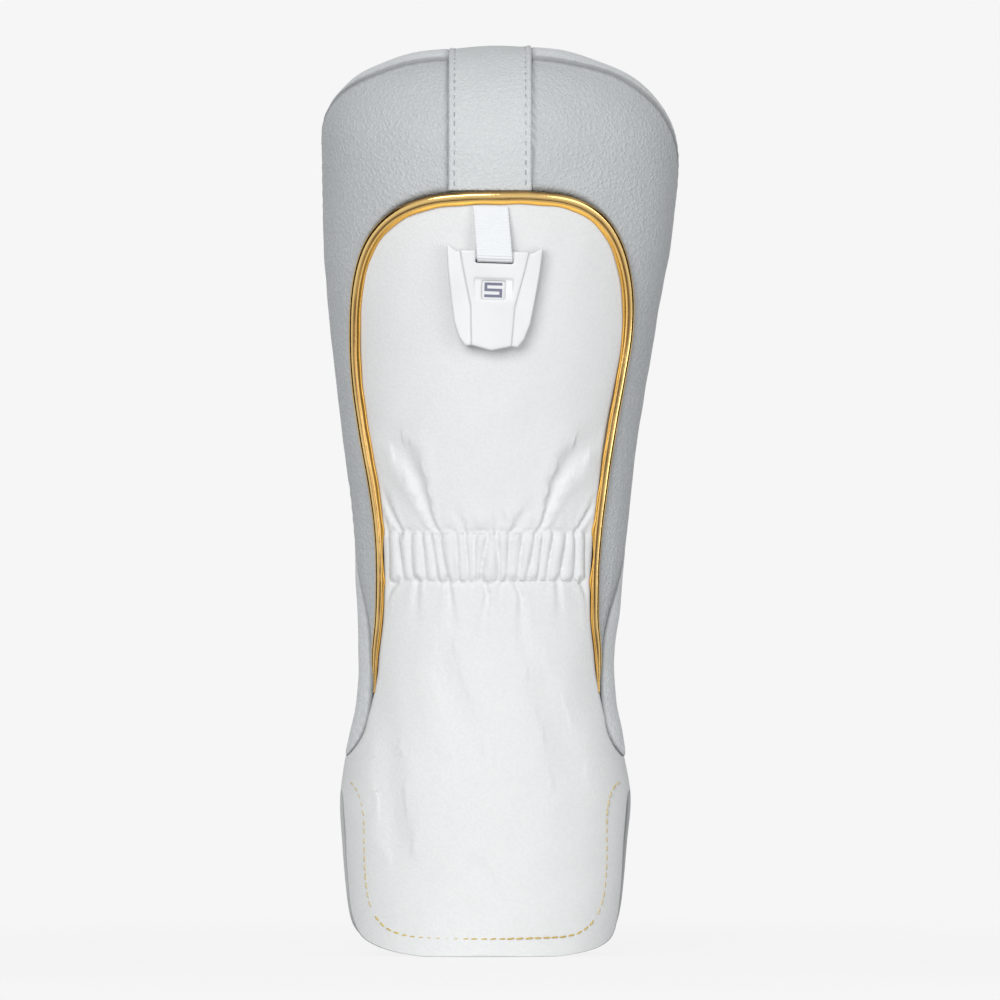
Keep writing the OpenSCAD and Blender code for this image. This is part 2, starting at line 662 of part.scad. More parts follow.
// Depths in the tag: its side wings, the joint of its two halves, the dial's cavity and the recess
wing_y = face_y + 1;
split_y = tag_t / 2 - 1.4;
cavity_y = face_y + 1.3;
dial_y = cavity_y + dial_clearance;
recess_y = face_y + 0.7;
// Recess round the window: its top, height and width
recess_z = -8.4;
recess_h = 8.4;
recess_w = 14;
// Window that shows one numeral, below the recess's top
window_in = 0.8;
window_w = 8.4;
window_h = 6.6;
// Wall round the thumb hub
hub_wall = 2.2;

module tag_front() {
    color(WHITE) in_tag_frame() {
        difference() {
            union() {
                plate(TAG_SIDE, wing_y, split_y);
                plate(PLATE_SIDE, face_y, wing_y);
            }
            translate([-slot_w / 2, face_y - 1, slot_z]) cube([slot_w, tag_t + 2, 10]);
            across(dial_r + dial_clearance, cavity_y, split_y + 1);
            recess();
            translate([-window_w / 2, face_y - 1, recess_z - window_in - window_h])
                cube([window_w, tag_t, window_h]);
        }
        rotate([0, 90, 0]) cylinder(h = slot_w + 0.02, r = bar_r, center = true, $fn = 48);
    }
}

// Scoop round the window: deepest under its top edge and flush at its bottom
module recess() {
    translate([recess_w / 2, face_y, recess_z]) rotate([0, -90, 0])
        linear_extrude(recess_w)
            polygon([[0, recess_y - face_y], [0, -1], [-recess_h, -1], [-recess_h, 0]]);
}

module tag_back() {
    color(WHITE) in_tag_frame() difference() {
        union() {
            plate(TAG_SIDE, split_y, tag_t / 2);
            across(hub_r + hub_wall, dial_y + dial_t + dial_clearance, split_y);
        }
        translate([-slot_w / 2, face_y, slot_z]) cube([slot_w, tag_t + 2, 10]);
        across(hub_r + dial_clearance, dial_y, tag_t);
    }
}

// Number disc with a thumb hub that shows flush in the tag's back, with grooves to grip
grip_w = 1.6;
grip_depth = 0.6;
module number_dial() {
    color(WHITE) in_tag_frame() difference() {
        union() {
            across(dial_r, dial_y, dial_y + dial_t);
            across(hub_r, dial_y + dial_t, tag_t / 2);
        }
        for (turn = [0, 60, 120])
            translate([0, tag_t / 2, -dial_drop]) rotate([0, turn, 0])
                cube([2 * hub_r - 2, 2 * grip_depth, grip_w], center = true);
    }
}

// Strokes of a numeral: top, upper left, upper right, middle, lower left, lower right, bottom
NUMERALS = [
    [5, [1, 1, 0, 1, 0, 1, 1]], [7, [1, 0, 1, 0, 0, 1, 0]], [9, [1, 1, 1, 1, 0, 1, 1]],
    [3, [1, 0, 1, 1, 0, 1, 1]], [4, [0, 1, 1, 1, 0, 1, 0]]];
numeral_t = 0.1;
// Radius of the ring of numerals, which brings one to the middle of the window
numeral_ring = dial_drop + recess_z - window_in - window_h / 2;

module numeral(strokes) {
    w = numeral_w;
    h = numeral_h;
    s = numeral_stroke;
    bars = [[-w / 2, h / 2 - s, w, s], [-w / 2, 0, s, h / 2], [w / 2 - s, 0, s, h / 2],
        [-w / 2, -s / 2, w, s], [-w / 2, -h / 2, s, h / 2], [w / 2 - s, -h / 2, s, h / 2],
        [-w / 2, -h / 2, w, s]];
    for (i = [0 : 6])
        if (strokes[i] == 1)
            translate([bars[i][0], dial_y - numeral_t, bars[i][1]])
                cube([bars[i][2], numeral_t, bars[i][3]]);
}

module dial_numerals() {
    color([0.45, 0.47, 0.54]) in_tag_frame() translate([0, 0, -dial_drop])
        for (k = [0 : len(NUMERALS) - 1])
            rotate([0, 72 * k, 0]) translate([0, 0, numeral_ring]) numeral(NUMERALS[k][1]);
}

front_panel();
front_yoke();
side_gusset();
back_panel();
back_cuff();
crown_strap();
piping_cover();
piping_cord();
waist_elastic();
front_pad();
back_pad();
front_lining();
back_lining();
front_hem();
back_hem();
hem_thread();
strap_thread();
gather_thread();
tag_ribbon();
tag_front();
tag_back();
number_dial();
dial_numerals();
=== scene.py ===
"""Looks for a fairway wood headcover: leather, welt, stitching, fleece, ribbon, number tag and studio.

Lengths in the shape classes are millimetres in the part's own frame; meshes are made in metres.
"""
import logging
import math
from dataclasses import dataclass, field
from enum import Enum

import bmesh
import bpy
import numpy as np
from mathutils import Matrix, Vector


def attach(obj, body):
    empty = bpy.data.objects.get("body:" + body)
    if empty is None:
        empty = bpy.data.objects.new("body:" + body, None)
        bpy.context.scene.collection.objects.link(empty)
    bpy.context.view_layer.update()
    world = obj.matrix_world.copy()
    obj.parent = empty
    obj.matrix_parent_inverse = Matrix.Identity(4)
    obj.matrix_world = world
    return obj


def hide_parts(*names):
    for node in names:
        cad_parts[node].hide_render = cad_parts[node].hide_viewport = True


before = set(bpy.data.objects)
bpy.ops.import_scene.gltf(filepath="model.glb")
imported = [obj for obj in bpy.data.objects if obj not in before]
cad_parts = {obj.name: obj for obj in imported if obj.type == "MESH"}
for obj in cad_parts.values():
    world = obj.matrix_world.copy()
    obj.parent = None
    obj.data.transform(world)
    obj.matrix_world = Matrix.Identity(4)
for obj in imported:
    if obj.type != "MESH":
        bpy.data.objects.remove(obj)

LOG = logging.getLogger("headcover")
MM = 0.001
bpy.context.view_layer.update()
Array = np.ndarray


class Side(Enum):
    """Which half of the cover a panel lies on."""

    FRONT = -1
    BACK = 1


# ---- Smooth curves ------------------------------------------------------------------------


def smooth(at: Array, table: list[tuple[float, float]]) -> Array:
    """Read a table of stations with a smooth curve through them.

    Args:
        at: Where to read it.
        table: Rows of (station, value), level at both ends.

    Returns:
        The values, in the shape of at.
    """
    stations, values = np.array(table, float).T
    slopes = np.zeros_like(values)
    slopes[1:-1] = (values[2:] - values[:-2]) / (stations[2:] - stations[:-2])
    at = np.asarray(at, float)
    i = np.clip(np.searchsorted(stations, at, side="right") - 1, 0, len(stations) - 2)
    w = stations[i + 1] - stations[i]
    t = np.clip((at - stations[i]) / w, 0, 1)
    start = (1 + 2 * t) * (1 - t) ** 2 * values[i] + t * (1 - t) ** 2 * w * slopes[i]
    end = t * t * (3 - 2 * t) * values[i + 1] - t * t * (1 - t) * w * slopes[i + 1]
    return start + end


def through(points: Array, steps: int) -> Array:
    """Curve through points.

    Args:
        points: One row a point.
        steps: Pieces to each stretch between two points.

    Returns:
        The curve's points, one row each.
    """
    points = np.asarray(points, float)
    last = len(points) - 1
    tangents = np.array([(points[min(last, i + 1)] - points[max(0, i - 1)]) / 2 for i in range(last + 1)])
    rows = []
    for i in range(last):
        t = (np.arange(steps) / steps)[:, None]
        rows.append((1 + 2 * t) * (1 - t) ** 2 * points[i] + t * (1 - t) ** 2 * tangents[i]
                    + t * t * (3 - 2 * t) * points[i + 1] - t * t * (1 - t) * tangents[i + 1])
    rows.append(points[-1:])
    return np.concatenate(rows)


def resampled(path: Array, count: int) -> Array:
    """A path with count points at even distances.

    Args:
        path: Points in order.
        count: Number of points.

    Returns:
        The new points.
    """
    run = np.concatenate([[0], np.cumsum(np.linalg.norm(np.diff(path, axis=0), axis=1))])
    at = np.linspace(0, run[-1], count)
    return np.stack([np.interp(at, run, path[:, k]) for k in range(path.shape[1])], 1)


def bump(x: Array, middle: float, width: float) -> Array:
    """A soft bell of height 1 round a middle."""
    return np.exp(-((np.asarray(x) - middle) / width) ** 2)


def ramp(x: Array, start: float, end: float) -> Array:
    """A smooth step from 0 at start to 1 at end."""
    t = np.clip((np.asarray(x, float) - start) / (end - start), 0, 1)
    return t * t * (3 - 2 * t)


def wander(x: Array, y: Array, scale: float, seed: int) -> Array:
    """Slow seeded waves over a surface, about -1 to 1.

    Args:
        x: First coordinate in millimetres.
        y: Second coordinate in millimetres.
        scale: Size of a wave in millimetres.
        seed: Picks the waves.

    Returns:
        The wave height at each point.
    """
    rng = np.random.default_rng(seed)
    total = np.zeros(np.broadcast(x, y).shape)
    for _ in range(7):
        angle, phase = rng.uniform(0, 2 * math.pi, 2)
        k = 2 * math.pi / (scale * rng.uniform(0.7, 1.6))
        total += np.sin(k * (np.cos(angle) * x + np.sin(angle) * y) + phase)
    return total / 3.2


# ---- The cover's outer surface -------------------------------------------------------------


@dataclass(frozen=True)
class CoverShape:
    """The stuffed cover's outer face: an ellipse at each level, and a dome over the widest level.

    A place on it is (a, b). Up to b = 0 the height is crown_z + b, and a is the angle in degrees
    round the ellipse from the middle of the front. Over the dome (a, b) is that angle as a vector.
    """

    crown_z: float = 288.0
    pocket_depth: float = 42.0
    waist_depth: float = 30.0
    mouth_depth: float = 32.0
    left: tuple = ((0, 49.5), (20, 51.6), (40, 53.1), (57, 53.8), (72, 51.6), (95, 46.9), (110, 46.6),
                   (132, 47.4), (157, 49), (186, 52.4), (215, 55.9), (245, 58.6), (265, 59.8), (288, 60.3))
    right: tuple = ((0, 46.8), (20, 49), (40, 50.6), (57, 51.9), (72, 49.5), (95, 45.8), (110, 45.6),
                    (132, 48.2), (157, 50.8), (186, 53.9), (215, 58.8), (245, 63.8), (265, 67.2), (288, 69.3))
    crown: tuple = ((0, 69.3), (15, 67.2), (30, 60.9), (45, 53.1), (60, 46.8), (67, 44.4), (75, 42),
                    (90, 40.8), (105, 41.5), (113, 43.2), (120, 45.5), (135, 51.5), (150, 58.1),
                    (165, 61.5), (180, 60.3))

    def half_width(self, x: Array, z: Array) -> Array:
        """Half width at a height, on the side that x is on."""
        return np.where(np.asarray(x) < 0, smooth(z, self.left), smooth(z, self.right))

    def depth(self, z: Array) -> Array:
        """Front to back half depth at a height.

        Args:
            z: Heights.

        Returns:
            Half depths in millimetres.
        """
        return smooth(z, [(0, self.mouth_depth), (58, self.mouth_depth + 1), (110, self.waist_depth - 1),
                          (140, self.waist_depth), (186, self.waist_depth + 5.5),
                          (235, self.pocket_depth - 1.8), (self.crown_z, self.pocket_depth)])

    def outer(self, place: Array) -> Array:
        """Point of the front half's face at each place, in millimetres.

        Args:
            place: Places on the surface.

        Returns:
            Points, one for each place.
        """
        a, b = place[..., 0], place[..., 1]
        z = self.crown_z + np.minimum(b, 0)
        turn = np.radians(a)
        low = np.stack([self.half_width(a, z) * np.sin(turn), -self.depth(z) * np.cos(turn), z], -1)
        tip, at = np.radians(np.hypot(a, b)), np.arctan2(np.maximum(b, 0), a)
        reach = smooth(np.degrees(at), self.crown) * np.sin(tip)
        high = np.stack([reach * np.cos(at), -self.depth(self.crown_z) * np.cos(tip),
                         self.crown_z + reach * np.sin(at)], -1)
        return np.where((b <= 0)[..., None], low, high)

    def seen(self, x: Array, z: Array) -> Array:
        """The place that shows at x, z in the front view.

        Args:
            x: Distance across.
            z: Height.

        Returns:
            Places on the surface.
        """
        x, z = np.broadcast_arrays(np.asarray(x, float), np.asarray(z, float))
        low = np.stack([np.degrees(np.arcsin(np.clip(x / self.half_width(x, z), -1, 1))), z - self.crown_z],
                       -1)
        rise = np.maximum(z - self.crown_z, 0)
        at = np.arctan2(rise, x)
        tip = np.degrees(np.arcsin(np.clip(np.hypot(x, rise) / smooth(np.degrees(at), self.crown), 0, 1)))
        high = np.stack([tip * np.cos(at), tip * np.sin(at)], -1)
        return np.where((z <= self.crown_z)[..., None], low, high)

    def seen_above(self, x: Array, z: Array, height: float) -> Array:
        """The place whose point at a height above the face shows at x, z in the front view."""
        n = self.normal(self.seen(x, z))
        return self.seen(x - height * n[:, 0], z - height * n[:, 2])

    def normal(self, place: Array) -> Array:
        """Outward unit normal at each place.

        Args:
            place: Places on the surface.

        Returns:
            Unit vectors, one for each place.
        """
        e = 0.05
        da = self.outer(place + [e, 0]) - self.outer(place - [e, 0])
        db = self.outer(place + [0, e]) - self.outer(place - [0, e])
        n = np.cross(da, db)
        return n / np.linalg.norm(n, axis=-1, keepdims=True)

    def beside(self, path: Array, distance: float | Array) -> Array:
        """A path of places moved to its left along the surface.

        Args:
            path: Places, one row each.
            distance: How far, in millimetres, one value or one a place.

        Returns:
            The moved places.
        """
        e = 0.05
        across = (self.outer(path + [e, 0]) - self.outer(path - [e, 0])) / (2 * e)
        up = (self.outer(path + [0, e]) - self.outer(path - [0, e])) / (2 * e)
        way = np.gradient(path, axis=0)
        left = np.cross(self.normal(path), way[:, :1] * across + way[:, 1:] * up)
        left *= np.reshape(distance, (-1, 1)) / np.linalg.norm(left, axis=1, keepdims=True)
        aa, uu, au = (across * across).sum(1), (up * up).sum(1), (across * up).sum(1)
        la, lu = (left * across).sum(1), (left * up).sum(1)
        return path + np.stack([la * uu - lu * au, lu * aa - la * au], 1) / (aa * uu - au * au)[:, None]

    def lifted(self, place: Array, height: Array | float, side: Side = Side.FRONT) -> Array:
        """Point above the face.

        Args:
            place: Places on the surface.
            height: Distance outwards in millimetres, one value or one for each place.
            side: The half of the cover.

        Returns:
            Points in millimetres.
        """
        point = self.outer(place) + self.normal(place) * np.asarray(height)[..., None]
        return point * [1, side.value * -1.0, 1] if side is Side.BACK else point


SHAPE = CoverShape()


@dataclass(frozen=True)
class Seams:
    """Where the panels meet, as in the part."""

    welt: tuple = ((-41.9, 95), (-41.4, 108), (-40, 122), (-39.6, 138), (-40.2, 154), (-42.4, 171),
                   (-45.7, 190), (-48.2, 209), (-48.8, 226.1), (-47.9, 241), (-45, 253.2), (-39.9, 262.1),
                   (-32, 268.6), (-21.3, 272.5), (-8.7, 273.9), (3.9, 274.2), (16.6, 274.1), (28.6, 272.7),
                   (37.5, 268.9), (44.4, 262.1), (49.2, 251.4), (51.4, 238), (51, 224), (48.6, 209),
                   (45.2, 190), (42.4, 171), (40.4, 154), (39.3, 138), (39.2, 122), (40.4, 108), (40.9, 95))
    tip_z: float = 71.5
    back_seam_z: float = 96.0
    slit_top: float = 60.0
    welt_half: float = 1.7
    welt_lift: float = 0.9
    welt_size: tuple = ((95, 0.4), (103, 0.55), (109, 0.7), (117, 0.8), (130, 0.82), (150, 0.85), (172, 0.95),
                        (190, 1), (288, 1))
    seam_gap: float = 0.4
    gusset_front: tuple = ((88.5, 71.5), (82, 72.3), (75, 74.1), (69.5, 77), (66, 81), (64.8, 86.5),
                           (65.4, 96), (66.2, 108), (67.5, 117), (71, 126), (78, 135), (87, 146), (92, 158),
                           (92.5, 180), (92.5, 215), (92.5, 250), (92, 272), (89, 284))
    gusset_back: tuple = ((91.5, 71.5), (98, 72.3), (105, 74.1), (110.5, 77), (114.5, 81), (117, 86.5),
                          (119, 96), (120.5, 108), (121.5, 117), (122.5, 126), (123, 135), (124, 146),
                          (125, 158), (126, 180), (127, 215), (127, 250), (125.5, 272), (122.5, 284))
    crown_left: tuple = ((89.5, 5), (88, 12), (80, 23), (69, 36), (66.6, 50), (66, 70), (65, 90))
    crown_right: tuple = ((82, 5), (78, 12), (73.5, 21), (69, 34), (64, 50), (64, 70), (65, 90))
    crown_back: tuple = ((120.5, 5), (119, 12), (117.5, 22), (116.5, 35), (116, 50), (116, 70), (116, 90))
    flap_left: tuple = ((-24, 0), (-34, 1.5), (-41, 3.6), (-46.4, 7), (-49.2, 12.5), (-50.9, 22), (-51.8, 34))
    flap_right: tuple = ((25, 0), (35.5, 1.5), (42, 3.6), (45.6, 7), (47.2, 12.5), (48.4, 22), (49.1, 34))
    stitch_left: tuple = ((-22, 6.9), (-27.6, 7.3), (-32, 8.1), (-36.3, 9.9), (-39.8, 13), (-42.5, 18),
                          (-44.1, 26), (-44.7, 38), (-44.9, 50), (-46.2, 57), (-48.2, 60.8), (-50, 62.6))
    stitch_right: tuple = ((23, 6.9), (28.6, 7.3), (33, 8.5), (36.8, 11.1), (39.6, 15), (41.5, 20.5),
                           (42.5, 28), (42.9, 38), (43, 50), (44, 57), (45.8, 61), (48.4, 62.8))
    back_left: tuple = ((-27, 0), (-37, 1.5), (-43.2, 3.6), (-47.4, 7))
    back_right: tuple = ((27, 0), (35.5, 1.5), (41, 3.6), (45, 7))

    def welt_path(self, steps: int) -> Array:
        """Places along the middle of the welt, from its left end over the arch to its right end."""
        points = np.array(self.welt)
        return through(SHAPE.seen_above(points[:, 0], points[:, 1], self.welt_lift), steps)

    def welt_sizes(self, path: Array) -> Array:
        """Size of the welt at places along it: drawn in at the waist, and thinner to its ends."""
        return smooth(np.minimum(SHAPE.crown_z, path[:, 1] + SHAPE.crown_z), self.welt_size)

    def stitch_path(self, steps: int) -> Array:
        """Places along the front flap's topstitching, from the left slit's top to the right slit's."""
        points = np.array([*self.stitch_left[::-1], (0, 6.5), *self.stitch_right], float)
        return through(SHAPE.seen(points[:, 0], points[:, 1]), steps)

    def gusset_seam(self, back: bool, steps: int, first: int = 0) -> Array:
        """Places along a seam of the gusset, from the left tip over the crown to the right tip.

        Args:
            back: The seam with the back panel, and not the one with the yoke.
            steps: Pieces to each stretch.
            first: Number of the seam's point to start from at each end.

        Returns:
            The seam's places.
        """
        side = np.array(self.gusset_back if back else self.gusset_front)[first:]
        halves = []
        for hand, front in ((-1, self.crown_left), (1, self.crown_right)):
            crown = np.array(self.crown_back if back else front)
            at = np.radians(crown[:, 1])
            low = np.stack([hand * side[:, 0], side[:, 1] - SHAPE.crown_z], 1)
            high = np.stack([hand * crown[:, 0] * np.cos(at), crown[:, 0] * np.sin(at)], 1)
            halves.append(np.concatenate([low, high]))
        return through(np.concatenate([halves[0], halves[1][-2::-1]]), steps)

    def flap_edge(self, hand: int) -> list:
        """Places up one edge of the front flap, from the bottom of the mouth to the slit's top.

        Args:
            hand: -1 for the left edge, 1 for the right.

        Returns:
            The places in order.
        """
        view = np.array(self.flap_right if hand > 0 else self.flap_left)
        slit = [(hand * a, self.slit_top + dz - SHAPE.crown_z)
                for a, dz in ((77.5, -12), (79, -4), (84, -0.8), (89.2, 0.4))]
        return [tuple(p) for p in SHAPE.seen(view[:, 0], view[:, 1])] + slit

    def front_edge(self, hand: int, steps: int) -> Array:
        """Places up one edge of the front panel, from the bottom of the mouth to the top of the arch.

        Args:
            hand: -1 for the left edge, 1 for the right.
            steps: Pieces to each stretch.

        Returns:
            The places in order.
        """
        under = [(hand * 89.2, self.tip_z - 1 - SHAPE.crown_z)]
        under += [(hand * (a - self.seam_gap), z - self.seam_gap - SHAPE.crown_z)
                  for a, z in self.gusset_front[1:6]]
        low = through(np.array(self.flap_edge(hand) + under), steps)
        welt = self.welt_path(steps)
        arch = SHAPE.beside(welt, -self.welt_half * self.welt_sizes(welt))
        half = len(arch) // 2
        return np.concatenate([low, arch[: half + 1] if hand < 0 else arch[half:][::-1]])

    def back_edge(self, hand: int, steps: int) -> Array:
        """Places up one edge of the back cuff, from the bottom of the mouth to the back seam.

        Args:
            hand: -1 for the left edge, 1 for the right.
            steps: Pieces to each stretch.

        Returns:
            The places in order.
        """
        view = np.array(self.back_right if hand > 0 else self.back_left)
        up = [(hand * a, z - SHAPE.crown_z) for a, z in ((82, 12.5), (86, 22), (88, 34))]
        up += [(hand * 89.3, self.slit_top + dz - SHAPE.crown_z) for dz in (-12, -4, 0.4)]
        up += [(hand * 89.3, self.tip_z - 1 - SHAPE.crown_z)]
        up += [(hand * (180 - a - self.seam_gap), z - self.seam_gap - SHAPE.crown_z)
               for a, z in self.gusset_back[1:6]]
        up += [(hand * (180 - self.gusset_back[6][0] - self.seam_gap),
                self.back_seam_z - self.seam_gap - SHAPE.crown_z)]
        return through(np.concatenate([SHAPE.seen(view[:, 0], view[:, 1]), up]), steps)


SEAMS = Seams()


def from_back(place: Array) -> Array:
    """The same places with the angle counted from the middle of the back.

    Args:
        place: Places counted from the middle of the front.

    Returns:
        Places counted from the middle of the back.
    """
    a, b = place[..., 0], place[..., 1]
    low = np.stack([np.sign(a) * (180 - np.abs(a)), b], -1)
    high = (180 / np.maximum(np.hypot(a, b), 1e-6) - 1)[..., None] * place
    return np.where((b <= 0)[..., None], low, high)


# ---- Meshes -----------------------------------------------------------------------------------


def mesh_object(name: str, points: Array, faces: list, smooth_shading: bool = True) -> bpy.types.Object:
    """Make a mesh object from points in millimetres.

    Args:
        name: Name of the piece.
        points: One row a vertex, in millimetres.
        faces: Vertex numbers of each face.
        smooth_shading: Shade the faces smooth.

    Returns:
        The new object, at the origin.
    """
    mesh = bpy.data.meshes.new(name)
    mesh.from_pydata((np.asarray(points) * MM).tolist(), [], faces)
    mesh.validate()
    mesh.update()
    if smooth_shading:
        mesh.shade_smooth()
    piece = bpy.data.objects.new(name, mesh)
    bpy.context.scene.collection.objects.link(piece)
    return piece


def grid_faces(rows: int, cols: int, offset: int = 0, flip: bool = False) -> list:
    """Quads of a grid of vertices numbered row by row from an offset.

    Args:
        rows: Vertices up.
        cols: Vertices across.
        offset: Number of the first vertex.
        flip: Face the other way.

    Returns:
        The corners of each quad.
    """
    j, i = np.meshgrid(np.arange(rows - 1), np.arange(cols - 1), indexing="ij")
    a = (offset + j * cols + i).ravel()
    quads = np.stack([a, a + 1, a + cols + 1, a + cols], 1)
    return (quads[:, ::-1] if flip else quads).tolist()


def shell_object(name: str, top: Array, bottom: Array) -> bpy.types.Object:
    """Closed piece between two grids of points.

    Args:
        name: Name of the piece.
        top: Outer face, rows by columns by 3, in millimetres.
        bottom: Inner face, of the same size.

    Returns:
        The new object, its faces turned outwards.
    """
    rows, cols = top.shape[:2]
    n = rows * cols
    number = np.arange(n).reshape(rows, cols)
    rim = np.concatenate([number[0], number[1:, -1], number[-1, -2::-1], number[-2:0:-1, 0]])
    ahead = np.roll(rim, -1)
    faces = grid_faces(rows, cols) + grid_faces(rows, cols, n, flip=True)
    faces += np.stack([rim, rim + n, ahead + n, ahead], 1).tolist()
    piece = mesh_object(name, np.concatenate([top.reshape(-1, 3), bottom.reshape(-1, 3)]), faces)
    outwards(piece)
    return piece


def outwards(piece: bpy.types.Object) -> None:
    """Turn a closed mesh's faces outwards.

    Args:
        piece: A closed mesh object.
    """
    work = bmesh.new()
    work.from_mesh(piece.data)
    if work.calc_volume(signed=True) < 0:
        bmesh.ops.reverse_faces(work, faces=work.faces)
    work.to_mesh(piece.data)
    work.free()


def swept_object(name: str, sections: Array, closed_path: bool = False) -> bpy.types.Object:
    """Closed piece through ring after ring of points.

    Args:
        name: Name of the piece.
        sections: Rings by points by 3, in millimetres.
        closed_path: Join the last ring to the first.

    Returns:
        The new object.
    """
    rings, n = sections.shape[:2]
    j, i = np.meshgrid(np.arange(rings if closed_path else rings - 1), np.arange(n), indexing="ij")
    k, up = (i + 1) % n, (j + 1) % rings
    faces = np.stack([j * n + i, j * n + k, up * n + k, up * n + i], -1).reshape(-1, 4).tolist()
    if not closed_path:
        faces += [list(range(n))[::-1], list(range((rings - 1) * n, rings * n))]
    piece = mesh_object(name, sections.reshape(-1, 3), faces)
    outwards(piece)
    return piece


def dress(piece: bpy.types.Object, material: bpy.types.Material, body: str, slot: str,
          *nodes: str) -> bpy.types.Object:
    """Finish a piece: its material, the body it rides on and the part's nodes it stands for.

    Args:
        piece: The finished mesh.
        material: Its material.
        body: Name of the body it moves with.
        slot: The record's material slot; not used.
        nodes: Nodes that it stands for.

    Returns:
        The same piece.
    """
    piece.data.materials.clear()
    piece.data.materials.append(material)
    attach(piece, body)
    if nodes:
        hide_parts(*nodes)
    LOG.info("%s: %d faces on %s", piece.name, len(piece.data.polygons), body)
    return piece


@dataclass
class Patch:
    """A panel of the cover: a grid of places between two edges."""

    left: Array
    right: Array
    cols: int
    side: Side = Side.FRONT

    def __post_init__(self) -> None:
        """Lay out the grid, closer together towards its long edges."""
        t = np.linspace(0, 1, self.cols)
        t = 0.45 * t + 0.55 * (1 - np.cos(np.pi * t)) / 2
        self.places = self.left[:, None] + (self.right - self.left)[:, None] * t[None, :, None]
        self.points = SHAPE.lifted(self.places, 0.0, self.side)
        across = np.linalg.norm(np.diff(self.points, axis=1), axis=2)
        run = np.concatenate([np.zeros((len(across), 1)), np.cumsum(across, axis=1)], 1)
        self.from_left, self.from_right = run, run[:, -1:] - run
        up = np.linalg.norm(np.diff(self.points, axis=0), axis=2)
        rise = np.concatenate([np.zeros((1, self.cols)), np.cumsum(up, axis=0)], 0)
        self.from_bottom, self.from_top = rise, rise[-1:] - rise

    @property
    def x(self) -> Array:
        """Distance of each point across the cover."""
        return self.points[..., 0]

    @property
    def z(self) -> Array:
        """Height of each point."""
        return self.points[..., 2]

    def turned(self, *distances: Array, radius: float, drop: float) -> Array:
        """Height lost where the leather turns down into a seam.

        Args:
            distances: Distance of each point from each turned edge.
            radius: Width of the turn.
            drop: Depth at the edge itself.

        Returns:
            Heights, 0 away from the edges.
        """
        total = np.zeros_like(self.x)
        for distance in distances:
            t = np.clip(1 - distance / radius, 0, 1)
            total -= drop * (1 - np.sqrt(np.maximum(0, 1 - t * t)))
        return total

    def shell(self, name: str, height: Array, thickness: float,
              seam: Array | None = None) -> bpy.types.Object:
        """Closed piece over the grid.

        Args:
            name: Name of the piece.
            height: Height of the outer face over the cover's surface.
            thickness: Thickness of the piece.
            seam: How dark the leather is painted at each point as shade along seams and edges, 0 to 1.

        Returns:
            The new object.
        """
        top = SHAPE.lifted(self.places, height, self.side)
        bottom = SHAPE.lifted(self.places, height - thickness, self.side)
        piece = shell_object(name, top, bottom)
        if seam is not None:
            mark = piece.data.attributes.new("seam", "FLOAT", "POINT")
            mark.data.foreach_set("value", np.tile(seam.ravel(), 2))
        return piece


# ---- Node groups and finishes ------------------------------------------------------------------


class Nodes:
    """Short way to place and join nodes in a tree."""

    def __init__(self, tree: bpy.types.NodeTree) -> None:
        """Keep the tree."""
        self.tree = tree

    def add(self, kind: str, inputs: dict | None = None, **settings: object) -> bpy.types.Node:
        """Place a node.

        Args:
            kind: The node's type name.
            inputs: Socket name or number to a value, or to an output socket to join.
            settings: Attributes of the node.

        Returns:
            The new node.
        """
        node = self.tree.nodes.new(kind)
        for key, value in settings.items():
            setattr(node, key, value)
        for key, value in (inputs or {}).items():
            if isinstance(value, bpy.types.NodeSocket):
                self.tree.links.new(value, node.inputs[key])
            else:
                node.inputs[key].default_value = value
        return node

    def math(self, operation: str, a: object, b: object = 0.0) -> bpy.types.NodeSocket:
        """Result of a sum on two values or sockets."""
        return self.add("ShaderNodeMath", {0: a, 1: b}, operation=operation).outputs[0]

    def spread(self, value: object, low: float, high: float, to_low: float = 0.0,
               to_high: float = 1.0) -> bpy.types.NodeSocket:
        """A value smoothly stretched from one range to another.

        Args:
            value: Value or socket.
            low: Start of its range.
            high: End of its range.
            to_low: Result at the start.
            to_high: Result at the end.

        Returns:
            The result socket.
        """
        ends = {"From Min": low, "From Max": high, "To Min": to_low, "To Max": to_high}
        node = self.add("ShaderNodeMapRange", {"Value": value, **ends}, interpolation_type="SMOOTHSTEP")
        return node.outputs["Result"]

    def blend(self, factor: object, a: object, b: object) -> bpy.types.NodeSocket:
        """Two colours mixed."""
        node = self.add("ShaderNodeMix", {"Factor": factor, 6: a, 7: b}, data_type="RGBA")
        return node.outputs[2]


def new_group(name: str, sockets: list[tuple[str, str, float]],
              outputs: list[tuple[str, str]]) -> tuple[Nodes, bpy.types.Node, bpy.types.Node]:
    """Start a shader node group.

    Args:
        name: Name of the group.
        sockets: Input name, kind and default.
        outputs: Output name and kind.

    Returns:
        The tree's nodes, its input node and its output node.
    """
    tree = bpy.data.node_groups.new(name, "ShaderNodeTree")
    for label, kind, default in sockets:
        socket = tree.interface.new_socket(label, in_out="INPUT", socket_type=kind)
        if kind == "NodeSocketFloat":
            socket.default_value = default
    for label, kind in outputs:
        tree.interface.new_socket(label, in_out="OUTPUT", socket_type=kind)
    nodes = Nodes(tree)
    return nodes, nodes.add("NodeGroupInput"), nodes.add("NodeGroupOutput")


